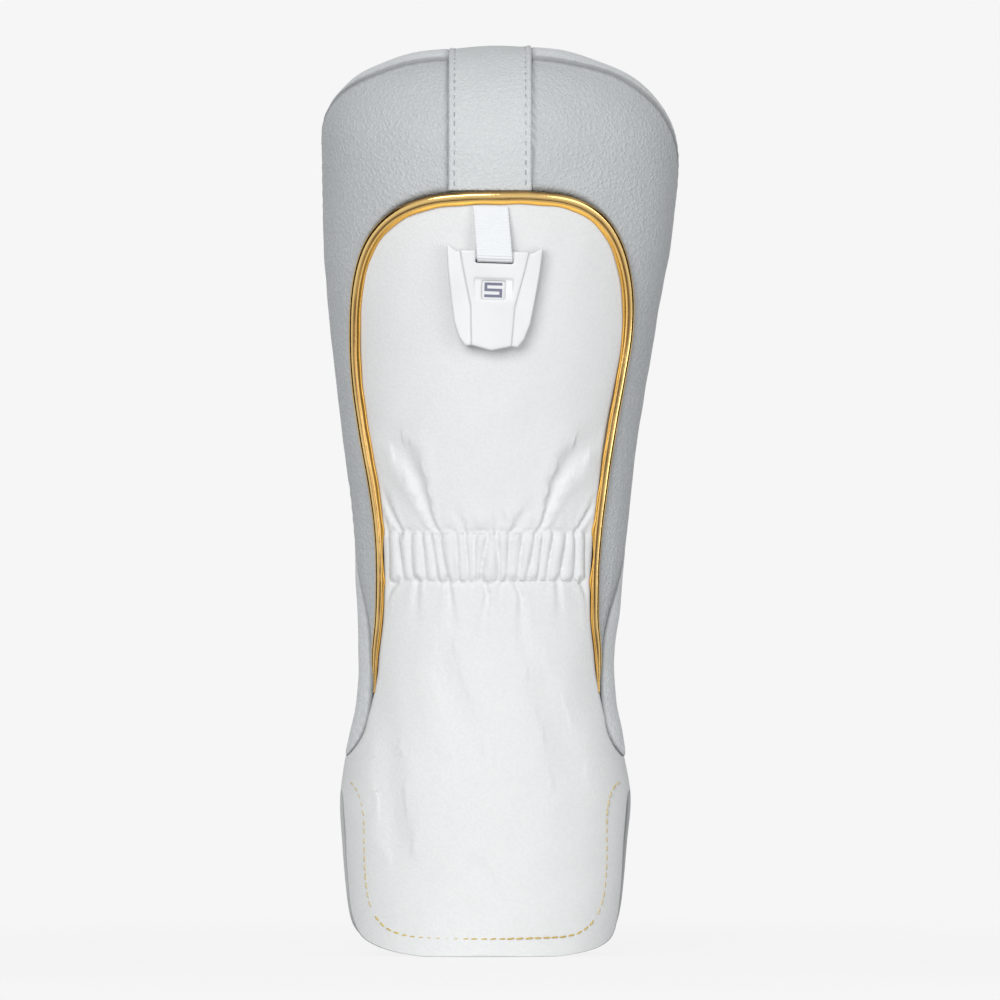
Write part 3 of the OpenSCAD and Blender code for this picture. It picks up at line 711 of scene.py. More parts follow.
def grain_group() -> bpy.types.NodeTree:
    """Pebbled leather grain: domed cells with fine creases between them.

    Returns:
        The node group.
    """
    nodes, inp, out = new_group(
        "leather_grain",
        [("Vector", "NodeSocketVector", 0), ("Cell", "NodeSocketFloat", 1.6),
         ("Waviness", "NodeSocketFloat", 0.35)],
        [("Height", "NodeSocketFloat"), ("Crease", "NodeSocketFloat"), ("Patch", "NodeSocketFloat")])
    per_metre = nodes.math("DIVIDE", 1000.0, inp.outputs["Cell"])
    scaled = nodes.add("ShaderNodeVectorMath", {0: inp.outputs["Vector"], "Scale": per_metre},
                       operation="SCALE").outputs[0]
    warp = nodes.add("ShaderNodeTexNoise", {"Vector": scaled, "Scale": 0.9, "Detail": 2.0}).outputs["Color"]
    centred = nodes.add("ShaderNodeVectorMath", {0: warp, 1: (0.5, 0.5, 0.5)},
                        operation="SUBTRACT").outputs[0]
    amount = nodes.math("MULTIPLY", inp.outputs["Waviness"], 2.6)
    moved = nodes.add("ShaderNodeVectorMath", {0: centred, "Scale": amount},
                      operation="SCALE").outputs[0]
    vector = nodes.add("ShaderNodeVectorMath", {0: scaled, 1: moved}, operation="ADD").outputs[0]
    cells = nodes.add("ShaderNodeTexVoronoi", {"Vector": vector, "Scale": 1.0, "Smoothness": 0.35},
                      feature="SMOOTH_F1").outputs["Distance"]
    small = nodes.add("ShaderNodeTexVoronoi", {"Vector": vector, "Scale": 2.1, "Smoothness": 0.3},
                      feature="SMOOTH_F1").outputs["Distance"]
    dome = nodes.spread(cells, 0.1, 0.62, 1.0, 0.0)
    little = nodes.spread(small, 0.1, 0.6, 1.0, 0.0)
    fine = nodes.add("ShaderNodeTexNoise", {"Vector": scaled, "Scale": 5.0, "Detail": 3.0}).outputs[0]
    patch = nodes.add("ShaderNodeTexNoise", {"Vector": scaled, "Scale": 0.08, "Detail": 2.0}).outputs[0]
    height = nodes.math("ADD", nodes.math("MULTIPLY", dome, 0.7), nodes.math("MULTIPLY", little, 0.2))
    height = nodes.math("ADD", height, nodes.math("MULTIPLY", fine, 0.12))
    links = nodes.tree.links
    links.new(height, out.inputs["Height"])
    # Crease marks the creases between cells, where the leather's colour is darkened as painted shade.
    links.new(nodes.spread(cells, 0.42, 0.68), out.inputs["Crease"])
    links.new(patch, out.inputs["Patch"])
    return nodes.tree


def fibre_group() -> bpy.types.NodeTree:
    """Short fibres and twist for thread, fleece and webbing.

    Returns:
        The node group.
    """
    nodes, inp, out = new_group(
        "fibres",
        [("Vector", "NodeSocketVector", 0), ("Size", "NodeSocketFloat", 0.5),
         ("Clumps", "NodeSocketFloat", 3.0)],
        [("Height", "NodeSocketFloat"), ("Shade", "NodeSocketFloat")])
    per_metre = nodes.math("DIVIDE", 1000.0, inp.outputs["Size"])
    scaled = nodes.add("ShaderNodeVectorMath", {0: inp.outputs["Vector"], "Scale": per_metre},
                       operation="SCALE").outputs[0]
    hair = nodes.add("ShaderNodeTexNoise", {"Vector": scaled, "Scale": 1.0, "Detail": 4.0, "Roughness": 0.7,
                                            "Distortion": 1.5}).outputs[0]
    coarse = nodes.math("DIVIDE", 1.0, inp.outputs["Clumps"])
    clump = nodes.add("ShaderNodeTexNoise", {"Vector": scaled, "Scale": coarse, "Detail": 2.0}).outputs[0]
    links = nodes.tree.links
    links.new(nodes.math("ADD", nodes.math("MULTIPLY", hair, 0.6), nodes.math("MULTIPLY", clump, 0.4)),
              out.inputs["Height"])
    links.new(nodes.spread(clump, 0.3, 0.7), out.inputs["Shade"])
    return nodes.tree


class Group(Enum):
    """The shader node groups that the finishes share."""

    GRAIN = "leather_grain"
    FIBRES = "fibres"

    @property
    def tree(self) -> bpy.types.NodeTree:
        """The group's tree, built the first time.

        Returns:
            The node group.
        """
        found = bpy.data.node_groups.get(self.value)
        if found is None:
            found = grain_group() if self is Group.GRAIN else fibre_group()
        return found


Colour = tuple[float, float, float]


def start_material(name: str) -> tuple[Nodes, bpy.types.Node, bpy.types.NodeSocket]:
    """Start a material: its nodes, its Principled shader and the object coordinates.

    Args:
        name: Name of the material.

    Returns:
        Its nodes, its shader and its coordinates.
    """
    material = bpy.data.materials.new(name)
    material.use_nodes = True
    nodes = Nodes(material.node_tree)
    shader = material.node_tree.nodes["Principled BSDF"]
    place = nodes.add("ShaderNodeTexCoord").outputs["Object"]
    return nodes, shader, place


def join_bump(nodes: Nodes, shader: bpy.types.Node, height: bpy.types.NodeSocket, distance_mm: float,
              strength: float = 1.0) -> None:
    """Feed a height to the shader's normal.

    Args:
        nodes: The material's nodes.
        shader: Its Principled shader.
        height: Height to follow.
        distance_mm: Full height in millimetres.
        strength: Share of it that shows.
    """
    relief = nodes.add("ShaderNodeBump", {"Height": height, "Distance": distance_mm * MM,
                                          "Strength": strength})
    nodes.tree.links.new(relief.outputs["Normal"], shader.inputs["Normal"])


@dataclass(frozen=True)
class Leather:
    """Pebbled synthetic leather."""

    name: str
    colour: Colour
    # The crease colour darkens the grain's creases as painted shade, tints random patches, and, times
    # seam_shade, gives the painted shade along seams, slit edges and beside the crown strap.
    crease: Colour
    cell: float = 1.6
    relief: float = 0.10
    roughness: float = 0.5
    seam_shade: float = 0.55

    def material(self) -> bpy.types.Material:
        """Build the material.

        Returns:
            The material.
        """
        nodes, shader, place = start_material(self.name)
        grain = nodes.add("ShaderNodeGroup", node_tree=Group.GRAIN.tree)
        nodes.tree.links.new(place, grain.inputs["Vector"])
        grain.inputs["Cell"].default_value = self.cell
        # A point attribute darkens the colour along seams, slit edges and beside the crown strap: painted
        # shade.
        seam = nodes.add("ShaderNodeAttribute", attribute_name="seam").outputs["Fac"]
        dark = tuple(self.seam_shade * c for c in self.crease)
        # Darker colour in the grain's creases: painted shade; the patches after it are random tone.
        tone = nodes.blend(nodes.math("MULTIPLY", grain.outputs["Crease"], 0.40), (*self.colour, 1),
                           (*self.crease, 1))
        faded = nodes.blend(nodes.spread(grain.outputs["Patch"], 0.35, 0.75, 0.0, 0.12), tone,
                            (*self.crease, 1))
        shaded_tone = nodes.blend(seam, faded, (*dark, 1))
        nodes.tree.links.new(shaded_tone, shader.inputs["Base Color"])
        rough = nodes.spread(grain.outputs["Height"], 0.2, 1.0, self.roughness + 0.12, self.roughness - 0.04)
        nodes.tree.links.new(rough, shader.inputs["Roughness"])
        shader.inputs["Specular IOR Level"].default_value = 0.35
        shader.inputs["Sheen Weight"].default_value = 0.05
        join_bump(nodes, shader, grain.outputs["Height"], self.relief)
        return nodes_material(nodes)


def nodes_material(nodes: Nodes) -> bpy.types.Material:
    """The material that owns a tree."""
    return next(m for m in bpy.data.materials if m.node_tree == nodes.tree)


@dataclass(frozen=True)
class Foil:
    """Gold foil on vinyl: bright where it is stretched round the cord, duller on its flat flange, with
    painted reflection and painted shade in bands on the tube.
    """

    name: str = "gold_foil"
    colour: Colour = (0.90, 0.62, 0.24)
    worn: Colour = (0.74, 0.42, 0.09)
    # Colour of the bands of painted reflection and painted shade on the tube.
    deep: Colour = (0.10, 0.045, 0.015)

    def material(self) -> bpy.types.Material:
        """Build the material.

        Returns:
            The material.
        """
        nodes, shader, place = start_material(self.name)
        crinkle = nodes.add("ShaderNodeTexNoise", {"Vector": place, "Scale": 900.0, "Detail": 3.0,
                                                   "Roughness": 0.6}).outputs[0]
        pucker = nodes.add("ShaderNodeTexNoise", {"Vector": place, "Scale": 60.0, "Detail": 2.0}).outputs[0]
        flat = nodes.add("ShaderNodeAttribute", attribute_name="flange").outputs["Fac"]
        dull = nodes.math("MAXIMUM", flat, nodes.spread(pucker, 0.6, 0.85, 0.0, 0.25))
        tone = nodes.blend(dull, (*self.colour, 1), (*self.worn, 1))
        # Painted reflection and painted shade: the welt's bands on the tube are darkened to this colour.
        painted_band_mask = nodes.add("ShaderNodeAttribute", attribute_name="deep").outputs["Fac"]
        uneven = nodes.math("MULTIPLY", painted_band_mask, nodes.spread(pucker, 0.25, 0.6, 0.65, 1.0))
        nodes.tree.links.new(nodes.blend(uneven, tone, (*self.deep, 1)), shader.inputs["Base Color"])
        shader.inputs["Metallic"].default_value = 1.0
        sheen = nodes.spread(crinkle, 0.3, 0.8, 0.10, 0.16)
        nodes.tree.links.new(nodes.math("ADD", sheen, nodes.math("MULTIPLY", flat, 0.34)),
                             shader.inputs["Roughness"])
        join_bump(nodes, shader, crinkle, 0.03)
        return nodes_material(nodes)


@dataclass(frozen=True)
class Fibre:
    """Thread, ribbon, elastic, fleece or foam: a fibrous finish in one colour."""

    name: str
    colour: Colour
    shade: Colour
    size: float = 0.35
    clumps: float = 3.0
    relief: float = 0.12
    roughness: float = 0.8
    sheen: float = 0.2

    def material(self) -> bpy.types.Material:
        """Build the material.

        Returns:
            The material.
        """
        nodes, shader, place = start_material(self.name)
        fibres = nodes.add("ShaderNodeGroup", node_tree=Group.FIBRES.tree)
        nodes.tree.links.new(place, fibres.inputs["Vector"])
        fibres.inputs["Size"].default_value = self.size
        fibres.inputs["Clumps"].default_value = self.clumps
        tone = nodes.blend(fibres.outputs["Shade"], (*self.shade, 1), (*self.colour, 1))
        nodes.tree.links.new(tone, shader.inputs["Base Color"])
        shader.inputs["Roughness"].default_value = self.roughness
        shader.inputs["Sheen Weight"].default_value = self.sheen
        join_bump(nodes, shader, fibres.outputs["Height"], self.relief)
        return nodes_material(nodes)


@dataclass(frozen=True)
class Moulded:
    """Satin moulded plastic with the faint orange peel of its mould."""

    name: str
    colour: Colour
    roughness: float = 0.38
    peel: float = 0.02

    def material(self) -> bpy.types.Material:
        """Build the material.

        Returns:
            The material.
        """
        nodes, shader, place = start_material(self.name)
        peel = nodes.add("ShaderNodeTexNoise", {"Vector": place, "Scale": 1600.0, "Detail": 2.0}).outputs[0]
        cloud = nodes.add("ShaderNodeTexNoise", {"Vector": place, "Scale": 60.0, "Detail": 2.0}).outputs[0]
        darker = tuple(0.955 * c for c in self.colour)
        tone = nodes.blend(nodes.spread(cloud, 0.35, 0.7), (*self.colour, 1), (*darker, 1))
        nodes.tree.links.new(tone, shader.inputs["Base Color"])
        nodes.tree.links.new(nodes.spread(cloud, 0.3, 0.7, self.roughness - 0.04, self.roughness + 0.05),
                             shader.inputs["Roughness"])
        shader.inputs["Coat Weight"].default_value = 0.08
        join_bump(nodes, shader, peel, self.peel)
        return nodes_material(nodes)


# ---- Geometry Nodes ----------------------------------------------------------------------------


@dataclass(frozen=True)
class Scatter:
    """Copies of a small piece at the vertices of a guide mesh, turned to its stored frames."""

    name: str
    seed: int = 3

    def build(self, guide: bpy.types.Object, piece: bpy.types.Object, material: bpy.types.Material,
              size: float, spread: float) -> bpy.types.Object:
        """Place the copies and make one mesh of them.

        Args:
            guide: Mesh whose vertices carry the vector attributes "turn" (Euler angles).
            piece: The piece that is repeated.
            material: Material of the copies.
            size: Middle size of a copy.
            spread: Share by which the sizes differ.

        Returns:
            One mesh object with every copy.
        """
        tree = bpy.data.node_groups.new(self.name, "GeometryNodeTree")
        for label, way, kind in (("Guide", "INPUT", "NodeSocketGeometry"),
                                 ("Piece", "INPUT", "NodeSocketObject"),
                                 ("Material", "INPUT", "NodeSocketMaterial"),
                                 ("Size", "INPUT", "NodeSocketFloat"),
                                 ("Spread", "INPUT", "NodeSocketFloat"),
                                 ("Seed", "INPUT", "NodeSocketInt"),
                                 ("Copies", "OUTPUT", "NodeSocketGeometry")):
            tree.interface.new_socket(label, in_out=way, socket_type=kind)
        nodes = Nodes(tree)
        inp, out = nodes.add("NodeGroupInput"), nodes.add("NodeGroupOutput")
        source = nodes.add("GeometryNodeObjectInfo", {"Object": inp.outputs["Piece"]})
        low = nodes.math("SUBTRACT", 1.0, inp.outputs["Spread"])
        high = nodes.math("ADD", 1.0, inp.outputs["Spread"])
        share = nodes.add("FunctionNodeRandomValue", {"Seed": inp.outputs["Seed"]}, data_type="FLOAT")
        nodes.tree.links.new(low, share.inputs[2])
        nodes.tree.links.new(high, share.inputs[3])
        scale = nodes.math("MULTIPLY", inp.outputs["Size"], share.outputs[1])
        turn = nodes.add("GeometryNodeInputNamedAttribute", {"Name": "turn"}, data_type="FLOAT_VECTOR")
        copies = nodes.add("GeometryNodeInstanceOnPoints",
                           {"Points": inp.outputs["Guide"], "Instance": source.outputs["Geometry"],
                            "Rotation": turn.outputs["Attribute"], "Scale": scale})
        real = nodes.add("GeometryNodeRealizeInstances", {"Geometry": copies.outputs["Instances"]})
        painted = nodes.add("GeometryNodeSetMaterial", {"Geometry": real.outputs["Geometry"],
                                                        "Material": inp.outputs["Material"]})
        nodes.tree.links.new(painted.outputs["Geometry"], out.inputs["Copies"])
        modifier = guide.modifiers.new(self.name, "NODES")
        modifier.node_group = tree
        values = {"Piece": piece, "Material": material, "Size": size, "Spread": spread, "Seed": self.seed}
        for item in tree.interface.items_tree:
            if item.item_type == "SOCKET" and item.in_out == "INPUT" and item.name in values:
                modifier[item.identifier] = values[item.name]
        bpy.context.view_layer.update()
        solid = bpy.data.meshes.new_from_object(guide.evaluated_get(bpy.context.evaluated_depsgraph_get()))
        guide.modifiers.remove(modifier)
        made = bpy.data.objects.new(self.name, solid)
        bpy.context.scene.collection.objects.link(made)
        bpy.data.objects.remove(guide)
        bpy.data.objects.remove(piece)
        return made


def guide_object(name: str, points: Array, along: Array, up: Array) -> bpy.types.Object:
    """Vertices that carry the turn of a frame: X runs along and Z points up.

    Args:
        name: Name of the guide.
        points: Places in millimetres.
        along: Direction of each copy's X.
        up: Direction of each copy's Z.

    Returns:
        The guide mesh.
    """
    mesh = bpy.data.meshes.new(name)
    mesh.from_pydata((points * MM).tolist(), [], [])
    turns = np.zeros((len(points), 3))
    x = along / np.linalg.norm(along, axis=1, keepdims=True)
    z = up - (up * x).sum(1, keepdims=True) * x
    z /= np.linalg.norm(z, axis=1, keepdims=True)
    y = np.cross(z, x)
    for k in range(len(points)):
        turns[k] = Matrix((x[k], y[k], z[k])).transposed().to_euler()
    stored = mesh.attributes.new("turn", "FLOAT_VECTOR", "POINT")
    stored.data.foreach_set("vector", turns.ravel())
    guide = bpy.data.objects.new(name, mesh)
    bpy.context.scene.collection.objects.link(guide)
    return guide


def stitch_object(length: float, width: float, height: float) -> bpy.types.Object:
    """One stitch of twisted thread, its two ends sunk into the leather.

    Args:
        length: Length in millimetres.
        width: Width in millimetres.
        height: Height of its top over the leather in millimetres.

    Returns:
        The stitch, lying along X.
    """
    rings, n = 9, 6
    t = np.linspace(-1, 1, rings)[:, None]
    turn = np.linspace(0, 2 * math.pi, n, endpoint=False)[None, :] + 0.55 * t
    swell = np.sqrt(np.maximum(0.06, 1 - t ** 4)) * (1 + 0.07 * np.cos(3 * turn))
    x = np.broadcast_to(t * length / 2, (rings, n))
    y = width / 2 * swell * np.cos(turn)
    z = height - width / 2 - 1.1 * height * np.abs(t) ** 3 + width / 2 * swell * np.sin(turn)
    return swept_object("stitch", np.stack([x, y, z], -1))


@dataclass(frozen=True)
class Stitch:
    """Distance from stitch to stitch, and the length and the width of one, in millimetres."""

    pitch: float
    length: float
    width: float


def row_of_stitches(name: str, path: Array, normals: Array, stitch: Stitch, material: bpy.types.Material,
                    lean: float = 0.0, seed: int = 3) -> bpy.types.Object:
    """Run stitches along a path.

    Args:
        name: Name of the piece.
        path: Points of the path in millimetres.
        normals: The leather's normal at each point.
        stitch: Spacing and size of the stitches.
        material: The thread's material.
        lean: Turn of each stitch off the path, in radians.
        seed: Picks the small differences.

    Returns:
        One mesh with all the stitches.
    """
    pitch = stitch.pitch
    run = np.concatenate([[0], np.cumsum(np.linalg.norm(np.diff(path, axis=0), axis=1))])
    at = np.arange(pitch / 2, run[-1] - pitch / 2, pitch)
    rng = np.random.default_rng(seed)
    at = at + rng.uniform(-0.06, 0.06, len(at)) * pitch
    point = np.stack([np.interp(at, run, path[:, k]) for k in range(3)], 1)
    ahead = np.stack([np.interp(at + 0.3, run, path[:, k]) - np.interp(at - 0.3, run, path[:, k])
                      for k in range(3)], 1)
    up = np.stack([np.interp(at, run, normals[:, k]) for k in range(3)], 1)
    side = np.cross(up, ahead)
    ahead = ahead + side * (lean + rng.uniform(-0.05, 0.05, len(at)))[:, None]
    guide = guide_object(name + "_guide", point, ahead, up)
    return Scatter(name, seed).build(guide, stitch_object(stitch.length, stitch.width, 0.62 * stitch.width),
                                     material, 1.0, 0.04)


# ---- Folds ---------------------------------------------------------------------------------------


@dataclass(frozen=True)
class Fold:
    """A crease in the leather: rows of (x, z, depth, width) in the front view, in millimetres."""

    path: tuple

    def height(self, x: Array, z: Array) -> Array:
        """Height of the crease and of the soft ridges beside it, at points of the front view.

        Args:
            x: Distance across.
            z: Height.

        Returns:
            Heights above the panel in millimetres.
        """
        best = np.zeros_like(x)
        for a, b in zip(self.path[:-1], self.path[1:]):
            dx, dz = b[0] - a[0], b[1] - a[1]
            t = np.clip(((x - a[0]) * dx + (z - a[1]) * dz) / (dx * dx + dz * dz), 0, 1)
            depth, width = a[2] + t * (b[2] - a[2]), a[3] + t * (b[3] - a[3])
            r = np.hypot(x - a[0] - t * dx, z - a[1] - t * dz) / width
            value = depth * (0.32 * np.exp(-((r - 1.7) / 0.9) ** 2) - np.exp(-r * r))
            best = np.where(np.abs(value) > np.abs(best), value, best)
        return best


@dataclass(frozen=True)
class Gathers:
    """The ruffles that the elastic band draws up at the waist, and the folds that run out of them."""

    low: float = 136.0
    high: float = 152.6
    depth: float = 1.7
    scallop: float = 1.5
    shoulder: float = 4.2
    wiggle: float = 0.55
    even_w: float = 4.2
    sunk: float = 0.35
    fade: float = 3.4
    border_depth: float = 0.22
    # Where each valley crosses the upper and the lower row of stitches
    valleys: tuple = ((-36.4, -36.0), (-32.0, -30.9), (-27.8, -26.4), (-24.5, -22.1), (-20.5, -18.7),
                      (-17.1, -14.4),
                      (-12.0, -10.1), (-8.4, -7.4), (-4.4,
                                                     -5.0), (0.0, -2.6), (2.6, 4.0), (8.5, 6.6), (12.9, 11.4),
                      (16.8, 14.2), (20.2, 17.6), (24.2, 21.3), (27.9, 26.4), (31.4, 30.6), (35.7, 35.1))
    folds: tuple = (
        Fold(((-34.1, 186.5, 0.3, 5.0), (-28.8, 179.6, 1.3, 3.6), (-25.1, 171, 1.6, 2.6),
              (-22.7, 163.6, 1.3, 1.9),
              (-20.3, 156.7, 1.0, 1.1), (-17.3, 151.3, 0.8, 0.8))),
        Fold(((37.5, 187.5, 0.4, 4.6), (29.8, 178.5, 1.5, 3.6), (25, 171, 1.6, 2.6), (22.4, 163.6, 1.3, 1.8),
              (20.2, 156.7, 1.0, 1.0), (17.2, 151.6, 0.8, 0.8))),
        Fold(((-38.6, 168, 0.2, 1.6), (-35.2, 160.5, 0.8, 1.2), (-32.6, 155.4, 0.8, 0.9),
              (-30.6, 151.3, 0.5, 0.8))),
        Fold(((39.2, 165, 0.3, 1.4), (36.2, 160, 0.9, 1.1), (34, 156.6, 0.8, 0.9), (31.6, 152.6, 0.5, 0.8))),
        Fold(((15.6, 163, 0.2, 2.4), (11.6, 157.2, 0.8, 1.9), (8.6, 152.6, 0.8, 1.1))),
        Fold(((3.2, 165.2, 0.2, 2.6), (4.2, 157, 0.7, 1.9), (3.0, 152.6, 0.6, 1.0))),
        Fold(((-12, 162, 0.1, 2.2), (-9.6, 156, 0.6, 1.5), (-8.3, 152.6, 0.6, 0.9))),
        Fold(((-38.4, 160, 0.2, 1.0), (-36.8, 155, 0.5, 0.8), (-36.4, 152.4, 0.4, 0.7))),
        Fold(((-14.6, 137, 0.7, 0.9), (-13.8, 130, 0.8, 1.3), (-12.9, 120, 0.3, 2.2))),
        Fold(((-2.4, 137, 0.7, 0.9), (0, 130.6, 0.8, 1.2), (-1.6, 121, 0.5, 2.0), (-3.2, 108, 0.3, 3.4))),
        Fold(((6.8, 137, 0.6, 0.8), (4.6, 133, 0.4, 1.0), (4.4, 130, 0.1, 1.2))),
        Fold(((9.4, 136.6, 0.6, 0.9), (12.2, 129.6, 0.8, 1.2), (12.4, 117, 0.4, 2.2), (14.6, 108, 0.3, 3.4))),
        Fold(((25.2, 136.6, 0.6, 0.9), (25.7, 129, 0.4, 1.4), (26, 121, 0.1, 2.0))),
        Fold(((-25.4, 136.6, 0.6, 0.9), (-25.9, 130, 0.4, 1.4), (-26.2, 121, 0.1, 2.0))),
        Fold(((-32.4, 136.6, 0.6, 0.8), (-36.4, 130.4, 0.4, 1.2), (-38, 124, 0.1, 1.4))),
        Fold(((33.4, 136.6, 0.6, 0.8), (36.4, 129, 0.5, 1.3), (37.6, 120, 0.2, 1.6))),
        Fold(((-14.8, 118, 0.1, 4.0), (-16.2, 104, 0.6, 4.6), (-9, 84, 0.7, 6.0), (-6, 62, 0.3, 8.0))),
        Fold(((15.2, 112, 0.1, 4.0), (20, 96, 0.5, 5.0), (28, 74, 0.7, 6.0), (31, 52, 0.3, 8.0))),
        Fold(((-38, 96, 0.1, 4.0), (-36, 66, 0.7, 5.0), (-34, 46, 0.8, 5.0), (-30, 32, 0.2, 6.0))),
        Fold(((-16, 16, 0.2, 4.0), (-4.4, 32, 0.7, 4.0), (6, 18, 0.2, 4.0))),
    )

    def height(self, x: Array, z: Array) -> Array:
        """Height of the gathers at points of the front view.

        Args:
            x: Distance across.
            z: Height.

        Returns:
            Heights above the panel in millimetres.
        """
        lean = np.clip((z - self.low) / (self.high - self.low), -0.35, 1.35)
        lines = np.stack([bottom + (top - bottom) * lean + self.wiggle * np.sin(2.4 * lean + 1.9 * number)
                          for number, (top, bottom) in enumerate(self.valleys)])
        before = np.max(np.where(lines <= x, lines, -60.0), 0)
        after = np.min(np.where(lines > x, lines, 60.0), 0)
        across = np.sin(math.pi * (x - before) / (after - before)) ** 0.55
        full = self.depth * np.clip((after - before) / self.even_w, 0.75, 1.2)
        full = full * (1 + 0.2 * np.sin(2.3 * before))
        reach = self.scallop * (across - 0.45) * (1 + 0.5 * np.sin(1.7 * before))
        inside = np.minimum(z - self.low + reach, self.high - z + reach)
        puff = np.sqrt(np.clip(1 - (1 - np.clip(inside / self.shoulder, 0, 1)) ** 2, 0, 1))
        spread = np.exp(-(np.clip(-inside, 0, None) / self.fade) ** 2)
        rise = 0.3 * across * spread * (1 - np.exp(-(inside / 1.2) ** 2))
        total = full * (np.where(inside > 0, across * puff, rise) - self.sunk * spread)
        total -= self.border_depth * np.exp(-inside ** 2)
        for fold in self.folds:
            total = total + fold.height(x, z)
        total += 0.8 * bump(x, -2.7, 2.4) * bump(z, 157.4, 3.6)
        return total


# ---- The cover -----------------------------------------------------------------------------------


def row_spacing(left: Array, right: Array, rows: int, low: float, high: float,
                extra: float) -> tuple[Array, Array]:
    """Share out the rows of two matching edge paths, closer together between two heights.

    Args:
        left: Places up the left edge.
        right: Places up the right edge.
        rows: Number of rows.
        low: Lower height of the dense stretch.
        high: Upper height of the dense stretch.
        extra: How many times denser it is there.

    Returns:
        The two edges with that many places.
    """
    middle = (SHAPE.outer(left) + SHAPE.outer(right)) / 2
    gaps = (np.linalg.norm(np.diff(SHAPE.outer(left), axis=0), axis=1)
            + np.linalg.norm(np.diff(SHAPE.outer(right), axis=0), axis=1)) / 2
    z = (middle[1:, 2] + middle[:-1, 2]) / 2
    weight = gaps * (1 + (extra - 1) * ramp(z, low - 10, low) * ramp(-z, -high - 10, -high))
    run = np.concatenate([[0], np.cumsum(weight)])
    at = np.interp(np.linspace(0, run[-1], rows), run, np.arange(len(run)))
    index = np.arange(len(run))
    pick = [np.stack([np.interp(at, index, edge[:, k]) for k in (0, 1)], 1) for edge in (left, right)]
    return pick[0], pick[1]


def made(kind: type, *words: object, **sizes: float) -> bpy.types.Material:
    """Field that makes a material of that kind once.

    Args:
        kind: Class of the finish.
        words: Its name and colours.
        sizes: Its other values.

    Returns:
        The dataclass field, whose value is the finished material.
    """
    return field(default_factory=lambda: kind(*words, **sizes).material())


@dataclass
class Finishes:
    """Every material of the cover, made once."""

    white: bpy.types.Material = made(
        Leather, "white_leather", (0.80, 0.81, 0.81), (0.745, 0.755, 0.76),
        cell=1.2, relief=0.05, roughness=0.52, seam_shade=0.42)
    grey: bpy.types.Material = made(
        Leather, "grey_leather", (0.57, 0.59, 0.60), (0.47, 0.49, 0.505),
        cell=1.3, relief=0.26, roughness=0.48)
    pale: bpy.types.Material = made(
        Leather, "pale_grey_leather", (0.77, 0.79, 0.80), (0.64, 0.66, 0.67),
        cell=1.3, relief=0.20, roughness=0.48)
    strap: bpy.types.Material = made(
        Leather, "strap_leather", (0.66, 0.68, 0.685), (0.55, 0.57, 0.58),
        cell=1.3, relief=0.26, roughness=0.48)
    gold: bpy.types.Material = made(Foil)
    gold_thread: bpy.types.Material = made(
        Fibre, "gold_thread", (0.80, 0.62, 0.12), (0.44, 0.28, 0.08),
        size=0.12, relief=0.05, roughness=0.45, sheen=0.1)
    pale_thread: bpy.types.Material = made(
        Fibre, "pale_gold_thread", (0.76, 0.65, 0.38), (0.52, 0.42, 0.22),
        size=0.12, relief=0.05, roughness=0.5)
    grey_thread: bpy.types.Material = made(
        Fibre, "grey_thread", (0.45, 0.47, 0.49), (0.32, 0.33, 0.35),
        size=0.12, relief=0.05, roughness=0.6)
    white_thread: bpy.types.Material = made(
        Fibre, "white_thread", (0.80, 0.81, 0.82), (0.68, 0.69, 0.71),
        size=0.12, relief=0.05, roughness=0.6)
    ribbon: bpy.types.Material = made(
        Fibre, "ribbon", (0.84, 0.86, 0.88), (0.82, 0.84, 0.86),
        size=0.16, relief=0.008, roughness=0.6, sheen=0.15)
    plastic: bpy.types.Material = made(
        Moulded, "tag_plastic", (0.80, 0.805, 0.81))
    ink: bpy.types.Material = made(
        Moulded, "numeral_ink", (0.16, 0.17, 0.24),
        roughness=0.5)
    fleece: bpy.types.Material = made(
        Fibre, "fleece", (0.33, 0.33, 0.37), (0.20, 0.20, 0.23),
        size=0.5, clumps=5.0, relief=0.5, roughness=0.95, sheen=0.4)
    foam: bpy.types.Material = made(
        Fibre, "foam", (0.70, 0.68, 0.60), (0.62, 0.60, 0.52),
        size=0.6, relief=0.2, roughness=0.9)
    elastic: bpy.types.Material = made(
        Fibre, "elastic", (0.76, 0.77, 0.78), (0.62, 0.63, 0.65),
        size=0.5, relief=0.15, roughness=0.75)
    cord: bpy.types.Material = made(
        Fibre, "white_cord", (0.78, 0.78, 0.76), (0.66, 0.66, 0.64),
        size=0.4, relief=0.2, roughness=0.8)


def waves(x: Array, z: Array, parts: tuple) -> Array:
    """Slow unevenness made of several sizes.

    Args:
        x: Places across.
        z: Places up.
        parts: Rows of (height, size, seed).

    Returns:
        Heights in millimetres.
    """
    return sum(height * wander(x, z, size, seed) for height, size, seed in parts)


